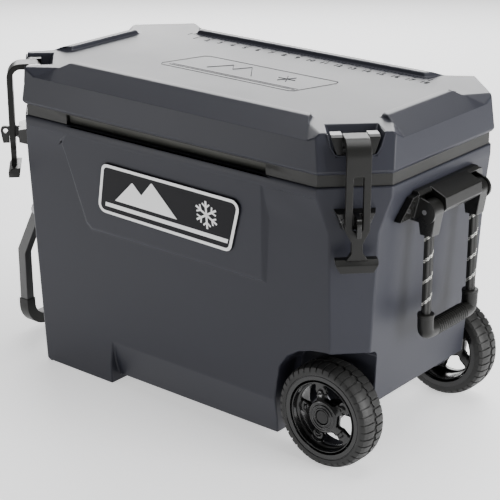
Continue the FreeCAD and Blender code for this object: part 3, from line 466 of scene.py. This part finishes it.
def thick_sheet(loops, thickness, rounding=0.0, segments=2):
    """A plate of an outline, its faces at z = 0 and z = thickness."""
    form = sheet_from_outline(loops)
    made = bmesh.ops.extrude_face_region(form, geom=form.faces[:])
    top = [item for item in made["geom"] if isinstance(item, bmesh.types.BMVert)]
    bmesh.ops.translate(form, vec=(0, 0, thickness), verts=top)
    bmesh.ops.dissolve_limit(form, angle_limit=math.radians(1.0), verts=form.verts, edges=form.edges)
    bmesh.ops.recalc_face_normals(form, faces=form.faces)
    if rounding:
        bevel(form, corner_edges(form, 60.0), rounding, segments)
    return form


def mirrored_copy(form):
    """The same shape on the other side of the plane y = 0 of the tub, turned the right way out."""
    other = form.copy()
    flip = Matrix.Translation(MIDDLE) @ Matrix.Diagonal((1, -1, 1, 1)) @ Matrix.Translation(-MIDDLE)
    bmesh.ops.transform(other, matrix=flip, verts=other.verts)
    bmesh.ops.reverse_faces(other, faces=other.faces)
    return other


def add_curve(form, curve, place):
    """Join a curve or text into a bmesh as a mesh, placed by a matrix."""
    shape = bpy.data.objects.new("curve", curve)
    bpy.context.scene.collection.objects.link(shape)
    bpy.context.view_layer.update()
    mesh = bpy.data.meshes.new_from_object(shape)
    other = bmesh.new()
    other.from_mesh(mesh)
    bpy.data.meshes.remove(mesh)
    bpy.data.objects.remove(shape)
    add(form, other, place)


def paint(material, *names):
    """Give CAD nodes that stay as they are one material."""
    for name in names:
        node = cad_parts[name]
        node.data.materials.clear()
        node.data.materials.append(material)


# ---------------------------------------------------------------- tub and lid

# The finger recess in the lid's dark band: its wall is brought forward, and its back is painted paler as
# painted light, standing in for the low front light that the lid's overhang keeps from it
RECESS_WALL_Y, RECESS_FORWARD = -173.5, 9
LID_TOP_Z = 486.95


def long_edge(edge):
    return edge.calc_length() > 3.0 * MM


def tub():
    soften_node("outer_shell", "tub", SHELL_GREY, "root", 2.4, 3, 14.0, long_edge)


def lid_cover():
    soften_node("lid_shell", "lid_cover", SHELL_GREY, "lid", 2.2, 3, 12.0, long_edge)


def lid_band():
    """Dark lower frame of the lid, with a shallower finger recess than the CAD node's, its back painted paler
    as painted light.
    """
    form = node_copy("lid_frame")
    for vert in form.verts:
        here = (vert.co - MIDDLE) / MM
        if abs(here.y - RECESS_WALL_Y) < 0.4 and -188 < here.x < 186 and here.z < 430.5:
            vert.co.y -= RECESS_FORWARD * MM
    for face in form.faces:
        here = (face.calc_center_median() - MIDDLE) / MM
        in_recess = -186 < here.y < -175 and -186.5 < here.x < 184.5 and 414 < here.z < 430.5
        # The recess back gets the paler material: painted light in place of the front light it misses
        if in_recess and abs(face.normal.y) > 0.9:
            face.material_index = 1
    piece("lid_band", form, [BAND_BLACK, RECESS_PAINTED_LIGHT], "lid", replaces=("lid_frame",))


def bead(form, points, radius, place, closed=False):
    """Add a round bead along straight runs."""
    path = bpy.data.curves.new("bead", "CURVE")
    path.dimensions = "3D"
    path.bevel_depth = radius
    path.bevel_resolution = 2
    path.use_fill_caps = not closed
    spline = path.splines.new("BEZIER")
    spline.bezier_points.add(len(points) - 1)
    for knot, point in zip(spline.bezier_points, points):
        knot.co = point
        knot.handle_left_type = knot.handle_right_type = "VECTOR"
    spline.use_cyclic_u = closed
    add_curve(form, path, place)
    bpy.data.curves.remove(path)


def pocket_rims():
    """Raised rim round each latch pocket in the lid."""
    for side, name in ((-1, "left"), (1, "right")):
        form = bmesh.new()
        points = [(-37.5, 2.6, 485.5), (-33.0, 1.2, 469), (-27.5, 0.3, 459), (-23.0, 0.0, 457),
                  (23.0, 0.0, 457), (27.5, 0.3, 459), (33.0, 1.2, 469), (37.5, 2.6, 485.5)]
        bead(form, points, 0.9, corner_frame(side))
        piece("pocket_rim_" + name, form, SHELL_GREY, "lid", weighted=False, sharp=60.0)


def emblem():
    """Plain frame, peaks and a six-armed star moulded into the middle of the lid, drawn as thin beads whose
    dark colour is painted shade standing in for the shadow inside the grooves.
    """
    form = bmesh.new()
    low, high = -49.0, 33.0
    outer = [(-126, low), (112, low), (120, low + 4), (142, high - 8), (139, high),
             (-100, high), (-108, high - 4), (-131, low + 7)]
    bead(form, [(x, y, LID_TOP_Z) for x, y in outer], 0.55, TUB_FRAME, closed=True)
    for y, x0, x1 in ((low + 9, -118, 117), (low + 14, -116, 119)):
        bead(form, [(x0, y, LID_TOP_Z), (x1, y, LID_TOP_Z)], 0.5, TUB_FRAME)
    peaks = [(-62, -20), (-38, 14), (-24, -6), (-8, 20), (22, -20)]
    bead(form, [(x, y, LID_TOP_Z) for x, y in peaks], 0.7, TUB_FRAME)
    for turn in (0, 60, 120):
        dx, dy = 15 * math.cos(math.radians(turn)), 15 * math.sin(math.radians(turn))
        arm = [(72 - dx, 0 - dy, LID_TOP_Z), (72 + dx, 0 + dy, LID_TOP_Z)]
        bead(form, arm, 0.7, TUB_FRAME)
    piece("lid_emblem", form, GROOVE_SHADE_GREY, "lid", weighted=False, sharp=60.0)


def digits(form, text, place):
    """Add numerals as thin flat letters."""
    words = bpy.data.curves.new("digits", "FONT")
    words.body = text
    words.size = 15.0
    words.extrude = 0.35
    words.resolution_u = 2
    words.align_x = "CENTER"
    words.align_y = "CENTER"
    add_curve(form, words, place)
    bpy.data.curves.remove(words)


INCH = 25.4
RULER_START, RULER_INCHES = -222.0, 18


def ruler():
    """Scale of inches along the rear edge of the lid's panel, its start and numbering invented; its dark
    colour is painted shade standing in for the shadow inside moulded grooves.
    """
    form = bmesh.new()
    for mark in range(RULER_INCHES + 1):
        x = RULER_START + INCH * mark
        hull(form, box_points(x - 0.7, x + 0.7, 120, 131, 486.7, 487.3), TUB_FRAME)
        for part in range(1, 4):
            if mark < RULER_INCHES:
                step = x + INCH * part / 4
                reach = 124.5 if part == 2 else 127.0
                tick = box_points(step - 0.5, step + 0.5, reach, 131, 486.7, 487.25)
                hull(form, tick, TUB_FRAME)
        if mark:
            digits(form, str(mark), TUB_FRAME @ Matrix.Translation((x, 109, 487.0)))
    piece("lid_ruler", form, GROOVE_SHADE_GREY, "lid", weighted=False, sharp=30.0)


# ---------------------------------------------------------------- badge

PANEL_LEAN = math.atan2(12.5, 141.0)
PANEL_TOP_Y, PANEL_TOP_Z = -192.0, 399.0
BADGE_PLACE = (TUB_FRAME @ Matrix.Translation((0, PANEL_TOP_Y, PANEL_TOP_Z))
               @ Matrix.Rotation(PANEL_LEAN, 4, "X") @ Matrix.Translation((0, 0, -PANEL_TOP_Z))
               @ Matrix.Rotation(math.radians(90), 4, "X"))
BADGE = [(-116, 371.6), (145, 368.7), (120, 286), (-135, 291)]
PLATE_THICK, LINE_THICK, LINE_BASE = 2.4, 0.5, 2.2


def inset_outline(points, gap):
    """Corners of a convex outline moved inwards by a gap."""
    moved = []
    for i, point in enumerate(points):
        here, before = Vector(point), Vector(points[i - 1])
        after = Vector(points[(i + 1) % len(points)])
        first, second = (here - before).normalized(), (after - here).normalized()
        bisector = (second - first).normalized()
        half = math.sin(math.acos(max(-1.0, min(1.0, first.dot(-second)))) / 2)
        moved.append(tuple(here + bisector * (gap / half)))
    return moved


def badge():
    """Dark plate with a raised white border, an underline and a picture of peaks and a snowflake."""
    plate = bmesh.new()
    add(plate, thick_sheet([[(x, z, 13) for x, z in BADGE]], PLATE_THICK, 0.6), BADGE_PLACE)
    piece("badge_base", plate, BADGE_BLACK, "root", replaces=("badge_plate",))
    lines = bmesh.new()
    raised = BADGE_PLACE @ Matrix.Translation((0, 0, LINE_BASE))
    outside = [(x, z, 12.5) for x, z in inset_outline(BADGE, 0.8)]
    inside = [(x, z, 8) for x, z in inset_outline(BADGE, 5.6)]
    add(lines, thick_sheet([outside, inside], LINE_THICK, 0.15, 1), raised)
    under = [(-117, 303.5, 0), (115, 299.5, 0), (117, 306, 0), (-115.5, 310, 0)]
    peaks = [(-96, 316, 0), (-58, 352, 2), (-42, 336, 0), (-20, 360, 2), (24, 314, 0)]
    for outline in (under, peaks):
        add(lines, thick_sheet([outline], LINE_THICK, 0.12, 1), raised)
    arm = [(-1.6, -21, 0), (1.6, -21, 0), (1.6, 21, 0), (-1.6, 21, 0)]
    twig = [(-1.2, 0, 0), (1.2, 0, 0), (1.2, 8.5, 0), (-1.2, 8.5, 0)]
    centre = BADGE_PLACE @ Matrix.Translation((80, 334, LINE_BASE))
    for turn in range(6):
        spoke = centre @ Matrix.Rotation(math.radians(60 * turn), 4, "Z")
        if turn < 3:
            add(lines, thick_sheet([arm], LINE_THICK), spoke)
        for lean in (-50, 50):
            fork = Matrix.Translation((0, 11, 0.01)) @ Matrix.Rotation(math.radians(lean), 4, "Z")
            add(lines, thick_sheet([twig], LINE_THICK), spoke @ fork)
    piece("badge_lines", lines, BADGE_WHITE, "root", weighted=False, sharp=30.0)


# ---------------------------------------------------------------- latches

STRAP_IN, STRAP_OUT, STRAP_HALF = 18.5, 27.0, 16.2
TURN_R, TURN_Z, TOP_Z = 22.0, 461.0, 483.0
TURN_OUT = STRAP_OUT - TURN_R
PIN_OUT, PIN_Z, EYE_R = 14, 473, 10.0
BLOCK_IN = 16.8


def bent(point):
    """Where a point of the flat strap goes: x along the corner, y along the strap, z its thickness."""
    s, run, depth = point
    quarter = TURN_R * math.pi / 2
    if run <= 0:
        return Vector((s, -(STRAP_OUT - depth), TURN_Z + run))
    if run < quarter:
        turn, reach = run / TURN_R, TURN_R - depth
        return Vector((s, -(TURN_OUT + reach * math.cos(turn)), TURN_Z + reach * math.sin(turn)))
    return Vector((s, -(TURN_OUT - (run - quarter)), TOP_Z - depth))


def strap(side, name):
    """Rubber strap: slotted blade with a waist, a solid eye over the pin and a T-shaped pull."""
    h = STRAP_HALF
    outline = [(-h, 56, 3), (h, 56, 3), (h, -98, 6), (7.5, -114, 7), (7.5, -128, 5),
               (15, -138.5, 1), (-15, -138.5, 1), (-7.5, -128, 5), (-7.5, -114, 7), (-h, -98, 6)]
    slot = [(-6.8, -24, 3), (6.8, -24, 3), (6.8, -99, 5.5), (-6.8, -99, 5.5)]
    blade = thick_sheet([outline, slot], STRAP_OUT - STRAP_IN, 1.1)
    for run in range(0, 36, 3):
        whole = blade.verts[:] + blade.edges[:] + blade.faces[:]
        bmesh.ops.bisect_plane(blade, geom=whole, dist=0.0001, plane_co=(0, run, 0),
                               plane_no=(0, 1, 0))
    for vert in blade.verts:
        vert.co = bent(vert.co)
    bmesh.ops.recalc_face_normals(blade, faces=blade.faces)
    form = bmesh.new()
    place = corner_frame(side)
    add(form, blade, place)
    rod(form, (-h, PIN_OUT, PIN_Z), (h, PIN_OUT, PIN_Z), EYE_R, place, 40, 1.0)
    pull = [(s * hand, -out, z) for hand in (-1, 1) for s, out, z in
            ((28.5, 12, 323.5), (28.5, 25, 324), (28.5, 31.3, 318), (22, 31.3, 307), (22, 15, 307))]
    hull(form, pull, place, 1.0)
    piece("strap_" + name, form, RUBBER, "latch_" + name,
          replaces=("latch_strap_" + name,))


def latch_block(side, name):
    """Two tapered blocks in the lid's pocket, with the pin between them."""
    form = bmesh.new()
    for hand in (-1, 1):
        points = [(hand * s, y, z) for s, y, z in
                  ((BLOCK_IN, 1.5, 457.5), (24.5, 1.5, 457.5), (24, 26, 457.5),
                   (BLOCK_IN, 26, 457.5), (BLOCK_IN, 3.4, 480.5), (32.5, 3.4, 480.5),
                   (BLOCK_IN, 8, 483), (32, 8, 483), (31.5, 25, 483), (BLOCK_IN, 25, 483))]
        hull(form, points, corner_frame(side), 0.7)
    hull(form, box_points(-BLOCK_IN, BLOCK_IN, 1, 26, 457.2, 460), corner_frame(side), 0.3)
    piece("latch_block_" + name, form, TRIM_BLACK, "lid",
          replaces=("latch_bracket_" + name,))


def keeper(name):
    """Hook plate on the corner with its padlock eye."""
    soften_node("keeper_" + name, "keeper_plate_" + name, TRIM_BLACK, "root",
                0.7, 2, 35.0, long_edge)


# ---------------------------------------------------------------- wheels

WHEEL = (270.0, -149.0, 76.5)
FACE_Y = -173.5
PERIODS, SLICES = 40, 5          # tread blocks round the tyre, and slices in each
TREAD_RISE = 1.95
SIDEWALL_R = 62.3
ZIGZAG = 1.6


def turn_about_axle(form, profile, steps):
    """Spin a closed line of (radius, depth from the outer face) round the front wheel's axle."""
    verts = [form.verts.new((WHEEL[0], FACE_Y + depth, WHEEL[2] + radius))
             for radius, depth in profile]
    edges = [form.edges.new(pair) for pair in zip(verts, verts[1:] + verts[:1])]
    bmesh.ops.spin(form, geom=verts + edges, cent=WHEEL, axis=(0, 1, 0), angle=math.tau, steps=steps,
                   use_merge=True, use_duplicate=False)
    bmesh.ops.remove_doubles(form, verts=form.verts, dist=0.001)
    bmesh.ops.recalc_face_normals(form, faces=form.faces)


def around(co):
    """Radius and angle of a point about the front wheel's axle."""
    return math.hypot(co.x - WHEEL[0], co.z - WHEEL[2]), math.atan2(co.x - WHEEL[0], co.z - WHEEL[2])


def tyre():
    """Tread ring with shoulder blocks, a zigzag middle groove and an inner row of blocks."""
    form = bmesh.new()
    profile = [(54, 3.4), (55, 1.6), (60.6, 1.6), (61.2, 2.4), (62.0, 2.4), (62.6, 1.4), (66, 1.0),
               (70.5, 3.2), (72.9, 7.5), (74.2, 13), (74.5, 20.5), (73.4, 22.0), (73.4, 24.5),
               (74.5, 26), (74.5, 33), (73.8, 39), (72.0, 44), (68, 46.6), (62, 47.8), (55, 47.4),
               (54, 45.6)]
    turn_about_axle(form, profile, PERIODS * SLICES)
    step = math.tau / (PERIODS * SLICES)
    blocks = []
    for face in form.faces:
        radius, angle = around(face.calc_center_median())
        depth = face.calc_center_median().y - FACE_Y
        slice_number = int((angle % math.tau) / step)
        if 1.2 < depth < 20.6 and radius > 62.6 and slice_number % SLICES != 0:
            blocks.append(face)
        if 25.9 < depth < 46 and radius > 69 and (slice_number + 2) % SLICES != 0:
            blocks.append(face)
    raised = bmesh.ops.extrude_face_region(form, geom=blocks)
    tops = [item for item in raised["geom"] if isinstance(item, bmesh.types.BMVert)]
    for vert in tops:
        radius = around(vert.co)[0]
        grow = (radius + TREAD_RISE) / radius
        vert.co.x = WHEEL[0] + (vert.co.x - WHEEL[0]) * grow
        vert.co.z = WHEEL[2] + (vert.co.z - WHEEL[2]) * grow
    bmesh.ops.delete(form, geom=blocks, context="FACES_ONLY")
    for vert in form.verts:
        radius, angle = around(vert.co)
        depth = vert.co.y - FACE_Y
        if 20.0 < depth < 26.5 and radius > 73:
            wave = (angle % (math.tau / PERIODS)) / (math.tau / PERIODS)
            vert.co.y += ZIGZAG * (1 - 4 * abs(wave - 0.5)) if wave else 0.0
    bmesh.ops.recalc_face_normals(form, faces=form.faces)
    for face in form.faces:
        radius = around(face.calc_center_median())[0]
        face.material_index = 1 if radius < SIDEWALL_R else 0
    bmesh.ops.transform(form, matrix=TUB_FRAME, verts=form.verts)
    return form


SPOKES = 5
WINDOW_LOW, WINDOW_HIGH = 25.0, 47.0
WINDOW_HALF, WINDOW_FLARE = 16.5, 8.0          # degrees: half a window, and how much it opens
RIM_TURN = math.radians(21)


def rim():
    """Dished wheel centre: ridged hub, five rounded windows, grooved spokes and a hollow back."""
    form = bmesh.new()
    front = [(10.8, 14.5), (10.8, 3.6), (11.8, 2.7), (13.2, 2.7), (13.9, 4.2), (15.4, 4.2),
             (16.1, 2.9), (17.8, 2.9), (18.5, 4.7), (20.2, 4.9), (20.9, 3.9), (23.0, 4.4),
             (WINDOW_LOW, 6.2)]
    rows = [(29.0, 8.6), (36.0, 10.6), (43.0, 11.8), (WINDOW_HIGH, 11.9)]
    outside = [(49.0, 11.4), (50.2, 9.5), (50.6, 3.4), (51.4, 2.1), (53.7, 1.9), (53.7, 23),
               (53.7, 44.6), (50.8, 44.8), (50.4, 30), (50.2, 21.0), (WINDOW_HIGH, 19.6)]
    back = [(43.0, 19.4), (36.0, 18.6), (29.0, 17.4), (WINDOW_LOW, 16.8)]
    hub = [(20.0, 16.6), (16.0, 18.0), (15.2, 30), (15.0, 44.5), (6.4, 44.5), (6.2, 30),
           (6.2, 15.2), (8.0, 14.6)]
    profile = front + rows + outside + back + hub
    turn_about_axle(form, profile, SPOKES * 4)
    period = math.tau / SPOKES
    for vert in form.verts:
        radius, angle = around(vert.co)
        if WINDOW_LOW - 0.5 < radius < WINDOW_HIGH + 0.5:
            offset = (angle + period / 2) % period - period / 2
            if abs(abs(offset) - period / 4) < 0.01:
                share = (radius - WINDOW_LOW) / (WINDOW_HIGH - WINDOW_LOW)
                half = math.radians(WINDOW_HALF + WINDOW_FLARE * share)
                swing = Matrix.Rotation(math.copysign(half - period / 4, offset), 3, "Y")
                bmesh.ops.rotate(form, cent=WHEEL, matrix=swing, verts=[vert])
    windows = []
    for face in form.faces:
        radius, angle = around(face.calc_center_median())
        offset = (angle + period / 2) % period - period / 2
        depth = face.calc_center_median().y - FACE_Y
        if WINDOW_LOW < radius < WINDOW_HIGH and abs(offset) < period / 4 and depth < 20:
            windows.append(face)
    bmesh.ops.delete(form, geom=windows, context="FACES")
    open_edges = [edge for edge in form.edges if len(edge.link_faces) == 1]
    for number in range(SPOKES):
        near = [edge for edge in open_edges
                if edge.is_valid and close_to_window(edge, number * period)]
        bmesh.ops.bridge_loops(form, edges=near)
    groove_spokes(form, period)
    bmesh.ops.rotate(form, cent=WHEEL, matrix=Matrix.Rotation(RIM_TURN, 3, "Y"), verts=form.verts)
    bmesh.ops.recalc_face_normals(form, faces=form.faces)
    bmesh.ops.transform(form, matrix=TUB_FRAME, verts=form.verts)
    return form


def close_to_window(edge, centre):
    """Whether an edge lies in the fifth of the wheel about a window's middle angle."""
    angle = around((edge.verts[0].co + edge.verts[1].co) / 2)[1]
    return abs((angle - centre + math.pi) % math.tau - math.pi) < math.tau / SPOKES / 2 - 0.01


def groove_spokes(form, period):
    """Press a narrow groove in the front of each spoke."""
    for number in range(SPOKES):
        centre = (number + 0.5) * period
        spoke = []
        for face in form.faces:
            radius, angle = around(face.calc_center_median())
            apart = abs((angle - centre + math.pi) % math.tau - math.pi)
            depth = face.calc_center_median().y - FACE_Y
            if 29 < radius < 43 and apart < period / 4 and depth < 14:
                spoke.append(face)
        bmesh.ops.inset_region(form, faces=spoke, thickness=3.2, depth=0.0, use_even_offset=True)
        bmesh.ops.inset_region(form, faces=spoke, thickness=0.7, depth=-1.1, use_even_offset=True)
        bmesh.ops.inset_region(form, faces=spoke, thickness=1.0, depth=0.0, use_even_offset=True)
        bmesh.ops.inset_region(form, faces=spoke, thickness=0.7, depth=1.1, use_even_offset=True)


def wheels():
    front_tyre, front_rim = tyre(), rim()
    back_tyre, back_rim = mirrored_copy(front_tyre), mirrored_copy(front_rim)
    for name, tread, centre in (("front", front_tyre, front_rim), ("back", back_tyre, back_rim)):
        body = "wheel_" + name
        piece("tyre_" + name, tread, [TYRE_BLACK, WHEEL_BLACK], body,
              replaces=("wheel_tyre_" + name,), weighted=False, sharp=32.0)
        piece("wheel_centre_" + name, centre, WHEEL_BLACK, body,
              replaces=("wheel_rim_" + name,), levels=2, sharp=180.0)


# ---------------------------------------------------------------- tow handle

def tow_handle():
    soften_node("tow_frame", "tow_bar", TOW_GREY, "tow_handle",
                1.6, 3, 50.0, long_edge)
    soften_node("tow_grip", "tow_sleeve", RUBBER, "tow_handle",
                0.5, 2, 50.0, long_edge)


# ---------------------------------------------------------------- rope handle

ROPE_X, ROPE_Y, ROPE_R = 359.0, 56.5, 6.5
ROPE_TOP, ROPE_LOW = 336.0, 214.0
STRANDS, STRAND_R, STRAND_STEPS = 12, 0.92, 92
STRAND_WIDTH = 1.35          # how much wider than thick a strand is
WEAVE = 0.75                 # how far a strand rises over and dips under the others
FLECKED = (0, 1)
BRAID_PITCH = 31.0


def rope(side):
    """Braided rope: a dark core, and strands that wind both ways and pass over and under."""
    form = bmesh.new()
    centre = Vector((ROPE_X, side * ROPE_Y, 0))
    rod(form, centre + UP * ROPE_LOW, centre + UP * ROPE_TOP, ROPE_R - 1.15, TUB_FRAME, 16)
    height = ROPE_TOP - ROPE_LOW
    for way in (-1, 1):
        for strand in range(STRANDS):
            start = math.tau * strand / STRANDS
            line = bmesh.new()
            bmesh.ops.create_circle(line, cap_ends=False, segments=5, radius=STRAND_R)
            rows = []
            for index in range(STRAND_STEPS + 1):
                z = ROPE_LOW + height * index / STRAND_STEPS
                angle = start + way * math.tau * (z - ROPE_LOW) / BRAID_PITCH
                over = (STRANDS * (z - ROPE_LOW) / BRAID_PITCH * math.pi + way * math.pi / 2
                        + strand * math.pi)
                radius = ROPE_R - 1.05 + WEAVE * math.cos(over)
                rows.append((angle, radius, z))
            sweep(line, rows, centre, way)
            white = 1 if way > 0 and strand in FLECKED else 0
            for face in line.faces:
                face.material_index = white
            add(form, line, TUB_FRAME)
    return form


def sweep(line, rows, centre, way):
    """Carry the small ring in a bmesh along a winding strand."""
    lean = math.atan2(math.tau * (ROPE_R - 1), BRAID_PITCH)
    current, edges = line.verts[:], line.edges[:]
    flat = [vert.co.copy() for vert in current]
    for number, (angle, radius, z) in enumerate(rows):
        outward = Vector((math.cos(angle), math.sin(angle), 0))
        along = Vector((-math.sin(angle) * way * math.sin(lean),
                        math.cos(angle) * way * math.sin(lean), math.cos(lean)))
        across = along.cross(outward)
        place = Matrix((outward, across * STRAND_WIDTH, along)).transposed().to_4x4()
        place.translation = centre + outward * radius + UP * z
        if number:
            made = bmesh.ops.extrude_edge_only(line, edges=edges)
            edges = [item for item in made["geom"] if isinstance(item, bmesh.types.BMEdge)]
            current = [item for item in made["geom"] if isinstance(item, bmesh.types.BMVert)]
        for vert, local in zip(current, flat):
            vert.co = place @ local


def ropes():
    for side, name in ((-1, "front"), (1, "back")):
        piece("rope_" + name, rope(side), [ROPE_BLACK, ROPE_WHITE], "carry_handle",
              replaces=("carry_rope_" + name,), weighted=False, sharp=60.0)


def grip():
    """Rounded rubber grip: a U of round section with collars at the ropes and ribs for the fingers."""
    form = bmesh.new()
    path = bpy.data.curves.new("grip", "CURVE")
    path.dimensions = "3D"
    path.bevel_depth = 11.4
    path.bevel_resolution = 6
    path.use_fill_caps = True
    spline = path.splines.new("NURBS")
    line = [(-56.8, 217), (-56.8, 208), (-56.8, 197), (-54, 190.6), (-40, 190.6), (-20, 190.6),
            (20, 190.6), (40, 190.6), (54, 190.6), (56.8, 197), (56.8, 208), (56.8, 217)]
    spline.points.add(len(line) - 1)
    for knot, (y, z) in zip(spline.points, line):
        knot.co = (ROPE_X, y, z, 1.0)
    spline.use_endpoint_u = True
    spline.order_u = 4
    spline.resolution_u = 8
    add_curve(form, path, TUB_FRAME)
    bpy.data.curves.remove(path)
    for y in (-56.8, 56.8):
        rod(form, (ROPE_X, y, 213), (ROPE_X, y, 219), 11.9, TUB_FRAME, 40, 1.2)
    for rib in range(15):
        y = -35.0 + 5.0 * rib
        rod(form, (ROPE_X, y - 1.1, 190.8), (ROPE_X, y + 1.1, 190.8), 11.95, TUB_FRAME, 40, 0.6)
    piece("rope_grip", form, RUBBER, "carry_handle", replaces=("carry_grip",),
          sharp=50.0)


def knuckles():
    for name in ("front", "back"):
        soften_node("carry_knuckle_" + name, "rope_end_" + name, TRIM_BLACK, "carry_handle",
                    1.4, 3, 30.0, long_edge)


def carry_bracket():
    soften_node("carry_bracket", "handle_bracket", TRIM_BLACK, "root",
                1.0, 3, 25.0, long_edge)


# ---------------------------------------------------------------- build

tub()
lid_cover()
lid_band()
pocket_rims()
emblem()
ruler()
badge()
for side, name in ((-1, "left"), (1, "right")):
    strap(side, name)
    latch_block(side, name)
    keeper(name)
wheels()
tow_handle()
ropes()
grip()
knuckles()
carry_bracket()

paint(TRIM_BLACK, "body_hinge_left", "body_hinge_right", "lid_hinge_left", "lid_hinge_right",
      "tow_bracket_front", "tow_bracket_back", "drain_body", "drain_plug")
paint(LINER_WHITE, "inner_liner")
paint(FOAM_CREAM, "foam_core", "lid_foam")
paint(RUBBER, "drain_seal", "lid_gasket")
paint(STEEL, "axle_washers", "hinge_pin_left", "hinge_pin_right", "tow_pin_front",
      "tow_pin_back", "carry_pin_front", "carry_pin_back", "latch_pin_left", "latch_pin_right")
paint(SCREW_DARK, "keeper_screws", "hinge_screws", "lid_hinge_screws", "carry_screws", "tow_screws")
paint(AXLE_DARK, "axle", "push_nuts")
